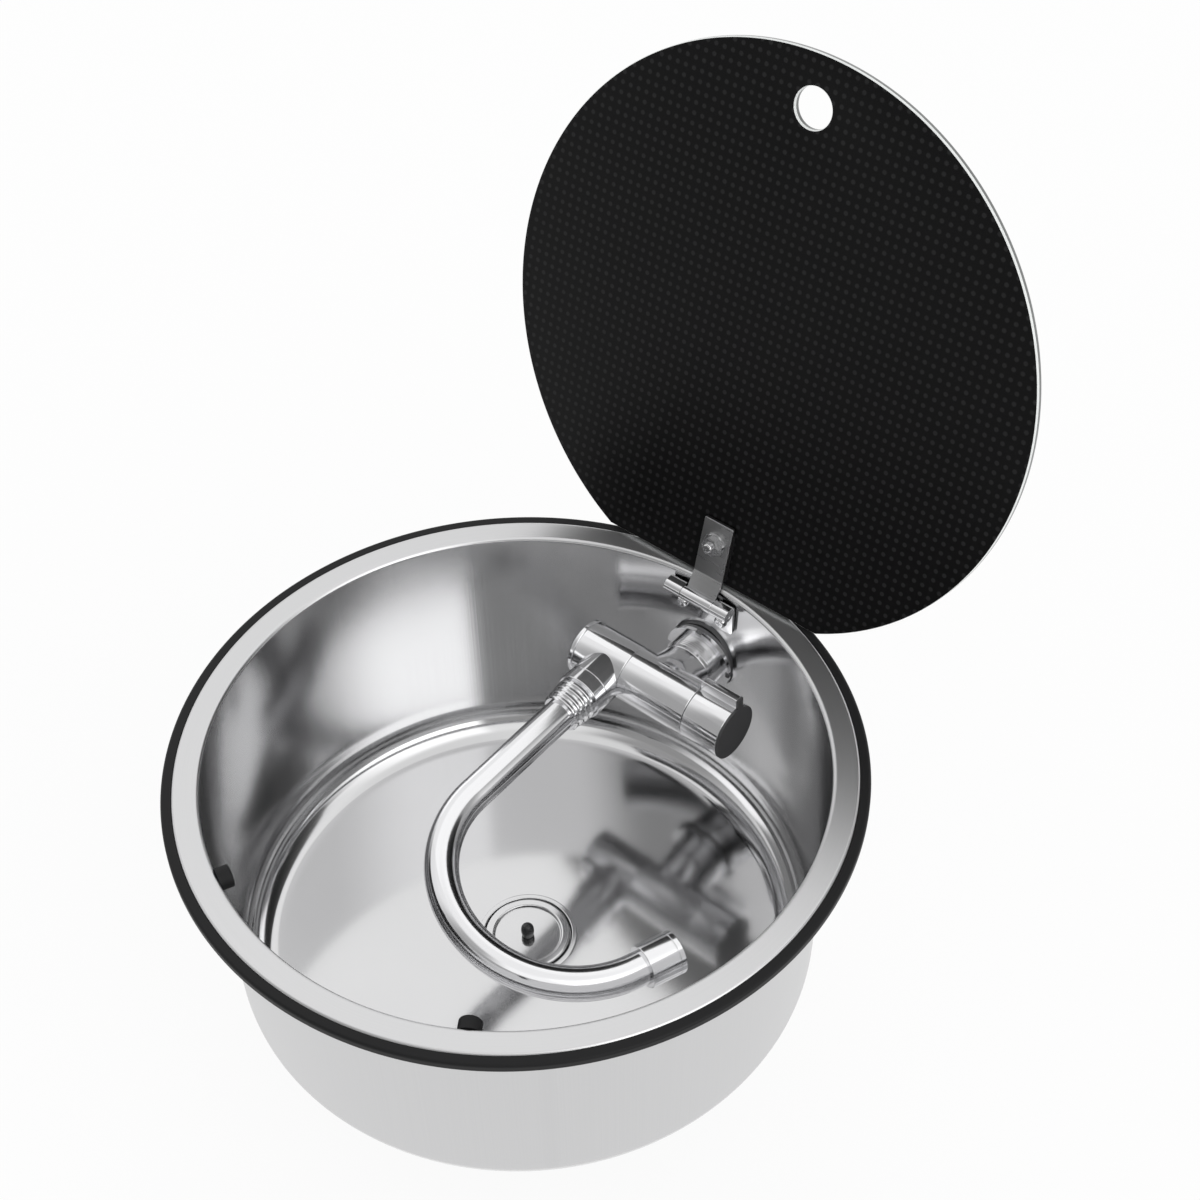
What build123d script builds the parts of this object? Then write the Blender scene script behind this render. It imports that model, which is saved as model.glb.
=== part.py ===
from build123d import *

import math
import os

# A round built-in sink: a pressed steel bowl that hangs by its rim in a worktop,
# a hinged round lid of black glass, a tap that folds down inside the bowl, and a waste
# with a lift-out plug. Millimetres. The origin lies on the bowl's axis in the plane of
# the worktop that the rim seal rests on. +Z is up, +Y points to the hinge and the tap.

os.makedirs("parts", exist_ok=True)

# ------------------------------------------------------------------ fits and gaps
fit_gap = 0.05  # radial clearance of turning and screwed fits
seat_gap = 0.10  # face to face clearance on curved or soft seats
soft_gap = 0.30  # distance kept between pieces that only meet softly
turn_gap = 0.20  # end play between pieces that turn on one another
hole_gap = 0.40  # radial clearance of a spigot in a punched hole
hex_sides = 6
upright = 90.0  # degrees

# ------------------------------------------------------------------ bowl and rim
sheet_t = 1.0  # pressed steel sheet
rim_top_z = 7.0  # top of the steel rim above the worktop
rim_w = 15.5  # flat rim from the wall to its outer edge
rim_lip_drop = 3.8  # turned-down outer edge of the rim
rim_lip_bend_r = 1.8
rim_bend_r = 2.5  # bend from rim to wall
wall_top_r = 178.5
wall_draft = 2.0  # degrees from upright
bowl_depth = 164.0  # rim top to the floor's outer edge
corner_r = 23.0  # bend from wall to floor
floor_fall = 3.0  # slope of the floor down to the waste
recess_bend_r = 1.4

# ------------------------------------------------------------------ rim seal
seal_w = 6.0  # seal beyond the rim's edge
seal_top_z = 6.2
seal_foot_w = 4.0  # how far the seal's foot reaches in under the lip
seal_round_r = 1.8

# ------------------------------------------------------------------ bumpers
bumper_r = 6.5
bumper_l = 8.0
bumper_left_turn = -25.5  # degrees from the front
bumper_right_turn = 32.5
bumper_round_r = 1.0
bumper_stem_r = 3.0
bumper_barb_r = 4.4
bumper_barb_l = 2.4

# ------------------------------------------------------------------ waste
waste_rim_w = 2.1  # rim beyond the cup
waste_rim_h = 1.1  # rim of the waste above the sink floor
waste_rim_round = 0.6
waste_cup_r = 28.4
waste_cup_wall = 1.2
waste_cup_depth = 2.6  # seat of the plug below the sink floor
waste_plate_t = 1.4
waste_washer_t = 1.0
waste_tube_r = 20.95
waste_tube_wall = 2.2
waste_tube_length = 36.0  # below the sink's recess
waste_bar_w = 2.4  # cross bars in the waste's throat
waste_bar_t = 2.0
waste_bar_drop = 12.0
lower_washer_w = 8.55
lower_washer_t = 3.0
waste_nut_w = 10.05
waste_nut_h = 9.0
waste_nut_lugs = 8
waste_nut_lug_w = 8.0
waste_nut_lug_out = 2.2
coupling_wall = 5.05
coupling_grip = 10.0  # length screwed over the waste tube
coupling_web_t = 3.0
coupling_ribs = 16
coupling_rib_r = 1.6
tail_r = 12.5
tail_wall = 2.1
tail_neck_wall = 1.5  # neck inside the coupling nut's web
tail_length = 42.0
tail_flange_t = 3.0
tail_washer_t = 2.0
tail_end_chamfer = 1.0

# ------------------------------------------------------------------ plug
plug_gap = 0.4  # plug inside the waste's cup
plug_rim_w = 5.6
plug_rim_h = 3.2
plug_rim_round = 0.8
plug_plate_t = 1.6
plug_hub_gap = 0.75  # hub inside the waste's throat
plug_hub_drop = 1.0
plug_boss_r = 6.0
plug_boss_drop = 6.5
plug_seal_inset = 1.4  # seal inside the plug's edge
plug_seal_t = 1.5
plug_seat_gap = 0.12
plug_knob_r = 3.7
plug_knob_neck_r = 2.9
plug_knob_foot_r = 5.0
plug_knob_foot_h = 1.2
plug_knob_h = 11.5
plug_knob_dome = 2.2
plug_stem_r = 1.6
plug_stem_l = 5.5

# ------------------------------------------------------------------ lid
lid_inset = 3.5  # lid's edge inside the wall's top
lid_t = 5.0
lid_cut = 18.0  # depth of the straight back edge's cut into the round
lid_open = 106.0  # degrees that the lid turns from closed to its open stop
lid_edge_r = 0.8
lid_over_rim = 0.7  # underside of the closed lid above the rim top
finger_hole_r = 12.0
finger_hole_inset = 30.0  # hole's middle inside the lid's edge

# ------------------------------------------------------------------ hinge
hinge_inset = 8.5  # pin axis inside the wall's top
hinge_drop = 8.0  # pin axis below the rim top
hinge_w = 46.4
knuckle_r = 4.3
centre_knuckle_w = 22.4
pin_r = 2.0
leaf_t = 2.0
leaf_length = 20.0  # pin axis to the leaf's lower edge
leaf_bend_r = 3.0
leaf_corner_r = 3.0
leaf_notch_drop = 3.0  # notch for the strap, below the pin axis
screw_inset = 8.6  # screw's axis inside the leaf's side
screw_drop = 13.3  # below the pin axis
screw_r = 2.0
screw_head_r = 4.0
screw_head_h = 2.4
screw_head_round = 1.8
screw_socket_w = 1.9
screw_slot_w = 1.0
screw_slot_d = 0.9
screw_washer_r = 5.0
screw_washer_t = 0.8
screw_nut_af = 7.0
screw_nut_h = 3.2
screw_spare = 1.5  # thread past the nut
strap_inset = 0.7  # strap's side inside the knuckle's end
strap_t = 2.0
strap_length = 53.0  # pin axis to the strap's upper end
strap_jog_start = 4.2
strap_jog_end = 14.8
strap_bend_r = 2.6
strap_corner_r = 1.2
pad_t = 1.0
pad_side = 1.0  # pad beyond the strap on each side
pad_start = 15.5
pad_end = 48.0

# ------------------------------------------------------------------ lid bolt
bolt_at = 38.0  # from the pin axis, along the lid
bolt_r = 3.0
bolt_head_r = 7.5
bolt_head_h = 3.0
bolt_head_round = 1.6
bolt_socket_af = 4.0
bolt_socket_d = 1.8
bolt_spare = 2.4  # thread past the nut
bolt_end_round = 1.2
bush_r = 4.2
bush_flange_r = 9.0
bush_flange_t = 1.0
lid_washer_r = 7.4
lid_washer_t = 1.2
nut_af = 10.0
nut_h = 5.0
nut_flange_r = 6.8
nut_flange_t = 1.3

# ------------------------------------------------------------------ tap
tap_inset = 45.6  # tap axis inside the wall's top
tap_drop = 56.7  # tap axis below the rim top
barrel_r = 18.0
barrel_left_x = -20.4
barrel_right_x = 28.4
barrel_round_r = 0.5
spindle_r = 9.0
spindle_bore_r = 5.0
spindle_port_r = 3.5
spindle_groove_w = 9.0
spindle_groove_d = 1.5
sleeve_l = 35.4
sleeve_pocket_wall = 1.6  # wall round the pocket for the washer and the cap
sleeve_pocket_d = 5.2
cap_lip = 0.4  # cap beyond the barrel
cap_t = 3.2
cap_ring_wall = 1.5
cap_ring_l = 2.6
cap_step_inset = 3.4
cap_step_t = 0.6
oring_r = 1.1
oring_inset = 6.0
spindle_washer_gap = 0.4  # washer inside the pocket
spindle_washer_t = 1.2
spindle_screw_r = 2.5
spindle_screw_l = 9.0
spindle_screw_head_r = 4.4
spindle_screw_head_h = 2.2
barrel_wall = 4.05  # round the cartridge
cartridge_l = 25.6
cartridge_waist_r = 8.0
cartridge_waist_w = 9.0
cartridge_nut_t = 3.6
cartridge_nut_bore_r = 6.5
cartridge_end_gap = 0.6
stem_r = 4.0
stem_reach = 20.0  # how far the stem stands out of the barrel
stem_seat = 16.0  # length of the stem inside the barrel
knob_gap = 0.4
knob_l = 26.4
knob_hollow_r = 11.2
knob_hollow_l = 5.0
fin_w = 5.0
fin_back = 5.3  # middle of the fin behind the knob's axis
fin_reach = 24.9  # top of the fin above the knob's axis
fin_slope_l = 1.5
end_plate_t = 1.4
knob_screw_r = 1.9
knob_screw_l = 10.0
knob_screw_head_r = 3.4
knob_screw_head_h = 2.4

# ------------------------------------------------------------------ tap spigot in the back wall
spigot_fall = 5.3  # spigot axis below the tap axis
thread_r = 18.6
thread_pitch = 1.5
thread_depth = 0.45
thread_turns = 7
thread_groove_sides = 4  # a square on its corner cuts a V
spigot_out = 26.1  # spigot's front behind the tap axis
spigot_length = 39.0
spigot_bore_l = 32.0
spigot_round_r = 0.4
neck_top = (17.3, 17.3)  # half width and half height inside the spigot
neck_waist = (17.2, 17.4)
neck_foot = (19.6, 16.5)
neck_waist_out = 20.1  # behind the tap axis
neck_foot_out = 5.0
neck_bore_r = 3.5
ring_nut_w = 5.2  # nut beyond the thread
ring_nut_t = 2.4
ring_nut_notches = 4
ring_nut_notch_w = 4.5
ring_nut_notch_d = 2.6
wall_gasket_inset = 0.8  # gasket inside the ring nut's edge
wall_gasket_t = 2.8  # where it is thickest, in the middle of the wall's curve
outer_gasket_t = 2.6
back_washer_inset = 0.5
back_washer_t = 2.0
backnut_wall = 3.9
backnut_h = 8.0
inlet_r = 8.3
inlet_bore_r = 5.0
inlet_length = 14.0
inlet_seat_l = 14.0
inlet_hex_wall = 1.2
inlet_hex_h = 6.0

# ------------------------------------------------------------------ spout
spout_x = -35.5
spout_r = 10.2
spout_wall = 1.2
spout_run = 133.9  # tap axis to the start of the bend
spout_bend_r = 73.8
spout_bend = 160.0  # degrees
spout_droop = 10.2  # degrees that the bend hangs down to the right, turned about the spout's axis
socket_r = 15.6
socket_reach = 36.0  # from the tap axis
socket_groove_at = 26.0
socket_groove_w = 0.7
socket_groove_d = 0.4
socket_seat_at = 24.6
tube_collar_w = 0.8
tube_collar_t = 2.0
spout_bush_t = 2.8
spout_nut_wall = 4.25
spout_nut_l = 17.6
spout_nut_ribs = 4
spout_nut_crest_w = 2.2
spout_nut_flank_w = 0.8
spout_nut_root = 1.1
spout_nut_taper = 0.5  # each rib below the one before it
spout_nut_nose_l = 5.5
outlet_at = 5.3  # start of the outlet sleeve past the bend
outlet_grip_wall = 2.75
outlet_l = 22.3
outlet_grip_l = 10.0
outlet_wall = 1.3
outlet_groove_at = 3.2  # from the open end
outlet_groove_w = 0.8
outlet_groove_d = 0.5
insert_t = 6.0
insert_recess = 1.5
insert_hole_r = 0.9
insert_ring_r = 6.4
insert_holes = 10

# ------------------------------------------------------------------ derived places
draft_slope = math.tan(math.radians(wall_draft))
floor_edge_z = rim_top_z - bowl_depth
floor_z = floor_edge_z - floor_fall
rim_edge_r = wall_top_r + rim_w
seal_r = rim_edge_r + seal_w
recess_r = waste_cup_r + seat_gap
recess_z = floor_z - waste_cup_depth - waste_plate_t - waste_washer_t
lip_z = rim_top_z - rim_lip_drop
hinge_z = rim_top_z - hinge_drop
screw_z = hinge_z - screw_drop
bumper_z = rim_top_z + lid_over_rim - soft_gap - bumper_r
lid_r = wall_top_r - lid_inset
hinge_y = wall_top_r - hinge_inset
screw_x = hinge_w / 2 - screw_inset
strap_w = centre_knuckle_w - 2 * strap_inset
tap_y = wall_top_r - tap_inset
tap_z = rim_top_z - tap_drop
spigot_z = tap_z - spigot_fall
spigot_front_y = tap_y + spigot_out
spigot_back_y = spigot_front_y + spigot_length
ring_nut_r = thread_r + ring_nut_w
wall_gasket_r = ring_nut_r - wall_gasket_inset
neck_foot_y = tap_y + neck_foot_out
neck_waist_y = tap_y + neck_waist_out
tube_collar_r = spout_r + tube_collar_w
socket_bore_r = tube_collar_r + 2 * fit_gap


def wall_r(z):
    """Radius of the bowl's inner wall at a height."""
    return wall_top_r - (rim_top_z - z) * draft_slope


def wall_y(x, z, skin=0.0):
    """Depth of the bowl's back wall at x and z, or of a face that lies skin outside it."""
    return math.sqrt((wall_r(z) + skin) ** 2 - x**2)


def facing_front(y):
    """Upright plane at a depth y. Positive amounts go to the front, negative ones to the back."""
    return Plane.XZ.offset(-y)


def facing_right(x):
    """Upright plane at x with the sketch axes Y and Z. Positive amounts go to the right."""
    return Plane.YZ.offset(x)


def save(builder, name):
    """Labels a finished piece and writes it under its own name."""
    builder.part.label = name
    export_step(builder.part, f"parts/{name}.step")


# ================================================================== bowl
bowl_skin = [
    (waste_tube_r + hole_gap, recess_z),
    (recess_r, recess_z),
    (recess_r, floor_z),
    (wall_r(floor_edge_z), floor_edge_z),
    (wall_top_r, rim_top_z),
    (rim_edge_r, rim_top_z),
    (rim_edge_r, lip_z),
]
bowl_bends = [recess_bend_r, recess_bend_r, corner_r, rim_bend_r, rim_lip_bend_r]


def bumper_plane(degrees):
    """Plane on the wall behind a bumper, facing the bowl's axis."""
    turn = math.radians(degrees)
    reach = wall_r(bumper_z)
    return Plane(
        origin=(reach * math.sin(turn), -reach * math.cos(turn), bumper_z),
        x_dir=(math.cos(turn), math.sin(turn), 0),
        z_dir=(-math.sin(turn), math.cos(turn), 0),
    )


with BuildPart() as bowl:
    with BuildSketch(Plane.XZ):
        with BuildLine():
            FilletPolyline(*bowl_skin, radius=bowl_bends)
            offset(amount=sheet_t, side=Side.RIGHT)
        make_face()
    revolve(axis=Axis.Z)
    # holes for the tap's spigot and for the two hinge screws
    with BuildSketch(facing_front(hinge_y)):
        with Locations((0, spigot_z)):
            Circle(thread_r + hole_gap)
        with Locations((-screw_x, screw_z), (screw_x, screw_z)):
            Circle(screw_r + hole_gap)
    extrude(amount=-(rim_edge_r - hinge_y), mode=Mode.SUBTRACT)
    # holes for the bumpers' stems
    for degrees in (bumper_left_turn, bumper_right_turn):
        with BuildSketch(bumper_plane(degrees)):
            Circle(bumper_stem_r + fit_gap)
        extrude(amount=bumper_l / 2, both=True, mode=Mode.SUBTRACT)
save(bowl, "bowl")


def wall_space(skin):
    """Solid cone that fills the bowl's wall, or the wall's outer face, up to the lid."""
    top = rim_top_z + bumper_r
    with BuildPart() as space:
        with BuildSketch(Plane.XZ):
            Polygon(
                (0, floor_edge_z),
                (wall_r(floor_edge_z) + skin, floor_edge_z),
                (wall_r(top) + skin, top),
                (0, top),
                align=None,
            )
        revolve(axis=Axis.Z)
    return space.part


inside_wall = wall_space(-seat_gap)
outside_wall = wall_space(sheet_t + seat_gap)

# ================================================================== rim seal
with BuildPart() as rim_seal:
    with BuildSketch(Plane.XZ):
        with BuildLine():
            FilletPolyline(
                (rim_edge_r - seal_foot_w, 0),
                (seal_r, 0),
                (seal_r, seal_top_z),
                (rim_edge_r + fit_gap, seal_top_z),
                (rim_edge_r + fit_gap, lip_z - fit_gap),
                (rim_edge_r - seal_foot_w, lip_z - fit_gap),
                radius=[0, seal_round_r, seal_round_r, 0, 0, 0],
                close=True,
            )
        make_face()
    revolve(axis=Axis.Z)
save(rim_seal, "rim_seal")

# ================================================================== bumpers
for degrees, name in ((bumper_left_turn, "bumper_left"), (bumper_right_turn, "bumper_right")):
    plane = bumper_plane(degrees)
    with BuildPart() as bumper:
        with BuildSketch(plane.offset(-bumper_r)):
            Circle(bumper_r)
        extrude(amount=bumper_r + bumper_l)
        tip = bumper.faces().sort_by(Axis(plane.origin, plane.z_dir))[-1]
        fillet(tip.edges(), radius=bumper_round_r)
        add(inside_wall, mode=Mode.INTERSECT)
        with BuildSketch(plane.offset(bumper_l / 2)):
            Circle(bumper_stem_r)
        extrude(amount=-(bumper_l / 2 + sheet_t + soft_gap))
        with BuildSketch(plane.offset(-sheet_t - soft_gap)):
            Circle(bumper_barb_r)
        with BuildSketch(plane.offset(-sheet_t - soft_gap - bumper_barb_l)):
            Circle(bumper_stem_r)
        loft()
    save(bumper, name)

# ================================================================== waste
waste_plate_z = floor_z - waste_cup_depth
waste_rim_r = waste_cup_r + waste_rim_w
waste_throat_r = waste_tube_r - waste_tube_wall
waste_end_z = recess_z - waste_tube_length

with BuildPart() as waste_body:
    with BuildSketch(Plane.XZ):
        with BuildLine():
            FilletPolyline(
                (waste_throat_r, waste_end_z),
                (waste_tube_r, waste_end_z),
                (waste_tube_r, recess_z + waste_washer_t),
                (waste_cup_r, recess_z + waste_washer_t),
                (waste_cup_r, floor_z + seat_gap),
                (waste_rim_r, floor_z + seat_gap),
                (waste_rim_r, floor_z + waste_rim_h),
                (waste_cup_r - waste_cup_wall, floor_z + waste_rim_h),
                (waste_cup_r - waste_cup_wall, waste_plate_z),
                (waste_throat_r, waste_plate_z),
                radius=[0, 0, 0, 0, 0, 0, waste_rim_round, waste_rim_round, 0, 0],
                close=True,
            )
        make_face()
    revolve(axis=Axis.Z)
    with BuildSketch(Plane.XY.offset(waste_plate_z - waste_bar_drop)):
        Rectangle(2 * waste_tube_r - waste_tube_wall, waste_bar_w)
        Rectangle(waste_bar_w, 2 * waste_tube_r - waste_tube_wall)
    extrude(amount=-waste_bar_t)
save(waste_body, "waste_body")


def ring(plane, outer_r, inner_r, height, name):
    """Flat ring on a plane, such as a washer or a gasket."""
    with BuildPart() as piece:
        with BuildSketch(plane):
            Circle(outer_r)
            Circle(inner_r, mode=Mode.SUBTRACT)
        extrude(amount=height)
    save(piece, name)


upper_washer_r = recess_r - recess_bend_r - seat_gap
ring(
    Plane.XY.offset(recess_z),
    upper_washer_r,
    waste_tube_r + fit_gap,
    waste_washer_t,
    "waste_gasket_upper",
)
lower_washer_z = recess_z - sheet_t - lower_washer_t
ring(
    Plane.XY.offset(lower_washer_z),
    waste_tube_r + lower_washer_w,
    waste_tube_r + fit_gap,
    lower_washer_t,
    "waste_gasket_lower",
)

waste_nut_r = waste_tube_r + waste_nut_w

with BuildPart() as waste_backnut:
    with BuildSketch(Plane.XY.offset(lower_washer_z)):
        Circle(waste_nut_r)
        with PolarLocations(waste_nut_r, waste_nut_lugs):
            Rectangle(2 * waste_nut_lug_out, waste_nut_lug_w)
        Circle(waste_tube_r + fit_gap, mode=Mode.SUBTRACT)
    extrude(amount=-waste_nut_h)
save(waste_backnut, "waste_backnut")

tail_top_z = waste_end_z - tail_washer_t
tail_bore_r = tail_r - tail_wall
tail_stub_z = tail_top_z - tail_flange_t - coupling_web_t - soft_gap
tail_end_z = tail_top_z - tail_flange_t - tail_length
ring(Plane.XY.offset(tail_top_z), waste_tube_r, tail_bore_r, tail_washer_t, "tail_washer")

with BuildPart() as waste_tail:
    with BuildSketch(Plane.XY.offset(tail_top_z)):
        Circle(waste_tube_r)
    extrude(amount=-tail_flange_t)
    with BuildSketch(Plane.XY.offset(tail_top_z)):
        Circle(tail_bore_r + tail_neck_wall)
    extrude(amount=tail_end_z - tail_top_z)
    with BuildSketch(Plane.XY.offset(tail_stub_z)):
        Circle(tail_r)
    extrude(amount=tail_end_z - tail_stub_z)
    chamfer(waste_tail.faces().sort_by(Axis.Z)[0].edges(), length=tail_end_chamfer)
    with BuildSketch(Plane.XY.offset(tail_top_z)):
        Circle(tail_bore_r)
    extrude(amount=tail_end_z - tail_top_z, mode=Mode.SUBTRACT)
save(waste_tail, "waste_tail")

coupling_r = waste_tube_r + coupling_wall

with BuildPart() as waste_coupling_nut:
    with BuildSketch(Plane.XY.offset(waste_end_z + coupling_grip)):
        Circle(coupling_r)
        with PolarLocations(coupling_r, coupling_ribs):
            Circle(coupling_rib_r)
    extrude(amount=-(coupling_grip + tail_washer_t + tail_flange_t + coupling_web_t))
    with BuildSketch(Plane.XY.offset(waste_end_z + coupling_grip)):
        Circle(waste_tube_r + fit_gap)
    extrude(amount=-(coupling_grip + tail_washer_t + tail_flange_t), mode=Mode.SUBTRACT)
    with BuildSketch(Plane.XY.offset(waste_end_z)):
        Circle(tail_r + fit_gap)
    extrude(amount=-waste_tube_length, mode=Mode.SUBTRACT)
save(waste_coupling_nut, "waste_coupling_nut")

# ================================================================== plug
plug_seal_z = waste_plate_z + plug_seat_gap
plug_z = plug_seal_z + plug_seal_t
plug_r = waste_cup_r - waste_cup_wall - plug_gap
plug_hub_r = waste_throat_r - plug_hub_gap

with BuildPart() as plug_disc:
    with BuildSketch(Plane.XZ):
        with BuildLine():
            FilletPolyline(
                (plug_stem_r + fit_gap, plug_seal_z - plug_boss_drop),
                (plug_boss_r, plug_seal_z - plug_boss_drop),
                (plug_boss_r, plug_seal_z - plug_hub_drop),
                (plug_hub_r, plug_seal_z - plug_hub_drop),
                (plug_hub_r, plug_z),
                (plug_r, plug_z),
                (plug_r, plug_z + plug_rim_h),
                (plug_r - plug_rim_w, plug_z + plug_rim_h),
                (plug_r - plug_rim_w, plug_z + plug_plate_t),
                (plug_stem_r + fit_gap, plug_z + plug_plate_t),
                radius=[0, 0, 0, 0, 0, 0, plug_rim_round, plug_rim_round, 0, 0],
                close=True,
            )
        make_face()
    revolve(axis=Axis.Z)
save(plug_disc, "plug_disc")

ring(
    Plane.XY.offset(plug_seal_z),
    plug_r - plug_seal_inset,
    plug_hub_r + fit_gap,
    plug_seal_t,
    "plug_seal",
)

with BuildPart() as plug_knob:
    knob_foot_z = plug_z + plug_plate_t
    knob_top_z = knob_foot_z + plug_knob_h
    with BuildSketch(Plane.XZ):
        with BuildLine():
            Polyline(
                (0, knob_top_z),
                (0, knob_foot_z - plug_stem_l),
                (plug_stem_r, knob_foot_z - plug_stem_l),
                (plug_stem_r, knob_foot_z),
                (plug_knob_foot_r, knob_foot_z),
                (plug_knob_foot_r, knob_foot_z + plug_knob_foot_h),
                (plug_knob_neck_r, knob_foot_z + 2 * plug_knob_foot_h),
                (plug_knob_r, knob_top_z - plug_knob_dome),
            )
            TangentArc(
                (0, knob_top_z),
                (plug_knob_r, knob_top_z - plug_knob_dome),
                tangent=(1, 0),
            )
        make_face()
    revolve(axis=Axis.Z)
save(plug_knob, "plug_knob")

# ================================================================== lid
# The open lid's own directions. Sketches on lid_side have the distance from the pin axis along
# the lid as x and the height towards the lid's upper face as y. Sketches on lid_flat have the
# distance along the lid as y.
lean = math.radians(lid_open - upright)
lid_up = (0, math.sin(lean), math.cos(lean))
lid_out = (0, math.cos(lean), -math.sin(lean))
lid_side = Plane(origin=(0, hinge_y, hinge_z), x_dir=lid_up, z_dir=(-1, 0, 0))
lid_flat = Plane(origin=(0, hinge_y, hinge_z), x_dir=(-1, 0, 0), z_dir=lid_out)
glass_low = hinge_drop + lid_over_rim  # underside of the glass from the pin axis
glass_high = glass_low + lid_t
strap_low = glass_low - pad_t - strap_t
lid_edge_y = hinge_y - lid_r + lid_cut  # straight back edge from the pin axis

with BuildPart() as glass_lid:
    with BuildSketch(lid_flat.offset(glass_low)):
        with Locations((0, hinge_y)):
            Circle(lid_r)
        with Locations((0, lid_edge_y)):
            Rectangle(2 * lid_r, lid_r, align=(Align.CENTER, Align.MAX), mode=Mode.SUBTRACT)
    extrude(amount=lid_t)
    with BuildSketch(lid_flat.offset(glass_low)):
        with Locations((0, hinge_y + lid_r - finger_hole_inset)):
            Circle(finger_hole_r)
    extrude(amount=lid_t, mode=Mode.SUBTRACT)
    fillet(glass_lid.faces().filter_by(lid_flat).edges(), radius=lid_edge_r)
    with BuildSketch(lid_flat.offset(glass_low)):
        with Locations((0, bolt_at)):
            Circle(bush_r + fit_gap)
    extrude(amount=lid_t, mode=Mode.SUBTRACT)
save(glass_lid, "glass_lid")

with BuildPart() as lid_pad:
    with BuildSketch(lid_flat.offset(glass_low)):
        with Locations((0, (pad_start + pad_end) / 2)):
            Rectangle(strap_w + 2 * pad_side, pad_end - pad_start)
        with Locations((0, bolt_at)):
            Circle(bush_r + fit_gap, mode=Mode.SUBTRACT)
    extrude(amount=-pad_t)
save(lid_pad, "lid_pad")

with BuildPart() as hinge_strap:
    with BuildSketch(lid_side):
        with BuildLine():
            FilletPolyline(
                (0, knuckle_r - strap_t),
                (strap_jog_start, knuckle_r - strap_t),
                (strap_jog_end, strap_low),
                (strap_length, strap_low),
                radius=strap_bend_r,
            )
            offset(amount=strap_t, side=Side.LEFT)
        make_face()
    extrude(amount=strap_w / 2, both=True)
    strap_end = hinge_strap.faces().sort_by(Axis((0, hinge_y, hinge_z), lid_up))[-1]
    fillet(strap_end.edges().filter_by(Axis((0, 0, 0), lid_out)), radius=strap_corner_r)
    with BuildSketch(lid_side):
        Circle(knuckle_r)
    extrude(amount=centre_knuckle_w / 2, both=True)
    with BuildSketch(lid_side):
        Circle(pin_r + fit_gap)
    extrude(amount=hinge_w, both=True, mode=Mode.SUBTRACT)
    with BuildSketch(lid_flat.offset(strap_low)):
        with Locations((0, bolt_at)):
            Circle(bolt_r + fit_gap)
    extrude(amount=strap_t, mode=Mode.SUBTRACT)
save(hinge_strap, "hinge_strap")

# ------------------------------------------------------------------ bolt through the glass
bolt_axis_flat = lid_flat.shift_origin(lid_flat.from_local_coords((0, bolt_at, 0)))
nut_seat = strap_low - lid_washer_t
bolt_head_z = glass_high + bush_flange_t

with BuildPart() as lid_bush:
    with BuildSketch(bolt_axis_flat.offset(glass_high)):
        Circle(bush_flange_r)
    extrude(amount=bush_flange_t)
    with BuildSketch(bolt_axis_flat.offset(glass_high)):
        Circle(bush_r)
    extrude(amount=-(lid_t + pad_t))
    with BuildSketch(bolt_axis_flat.offset(bolt_head_z)):
        Circle(bolt_r + fit_gap)
    extrude(amount=-(bush_flange_t + lid_t + pad_t), mode=Mode.SUBTRACT)
save(lid_bush, "lid_bush")

with BuildPart() as lid_bolt:
    with BuildSketch(bolt_axis_flat.offset(bolt_head_z)):
        Circle(bolt_head_r)
    extrude(amount=bolt_head_h)
    bolt_line = Axis(bolt_axis_flat.origin, lid_out)
    fillet(lid_bolt.faces().sort_by(bolt_line)[-1].edges(), radius=bolt_head_round)
    with BuildSketch(bolt_axis_flat.offset(bolt_head_z)):
        Circle(bolt_r)
    extrude(amount=-(bolt_head_z - nut_seat + nut_h + bolt_spare))
    fillet(lid_bolt.faces().sort_by(bolt_line)[0].edges(), radius=bolt_end_round)
    with BuildSketch(bolt_axis_flat.offset(bolt_head_z + bolt_head_h)):
        RegularPolygon(bolt_socket_af / 2, hex_sides, major_radius=False)
    extrude(amount=-bolt_socket_d, mode=Mode.SUBTRACT)
save(lid_bolt, "lid_bolt")

ring(bolt_axis_flat.offset(nut_seat), lid_washer_r, bolt_r + fit_gap, lid_washer_t, "lid_washer")

with BuildPart() as lid_nut:
    with BuildSketch(bolt_axis_flat.offset(nut_seat)):
        RegularPolygon(nut_af / 2, hex_sides, major_radius=False)
    extrude(amount=-nut_h)
    with BuildSketch(bolt_axis_flat.offset(nut_seat)):
        Circle(nut_flange_r)
    extrude(amount=-nut_flange_t)
    with BuildSketch(bolt_axis_flat.offset(nut_seat)):
        Circle(bolt_r + fit_gap)
    extrude(amount=-nut_h, mode=Mode.SUBTRACT)
save(lid_nut, "lid_nut")

# ================================================================== hinge leaf
leaf_low_z = hinge_z - leaf_length
leaf_back_y = wall_y(hinge_w / 2, leaf_low_z) - seat_gap
leaf_front_y = leaf_back_y - leaf_t
notch_w = centre_knuckle_w + 2 * turn_gap

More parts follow.
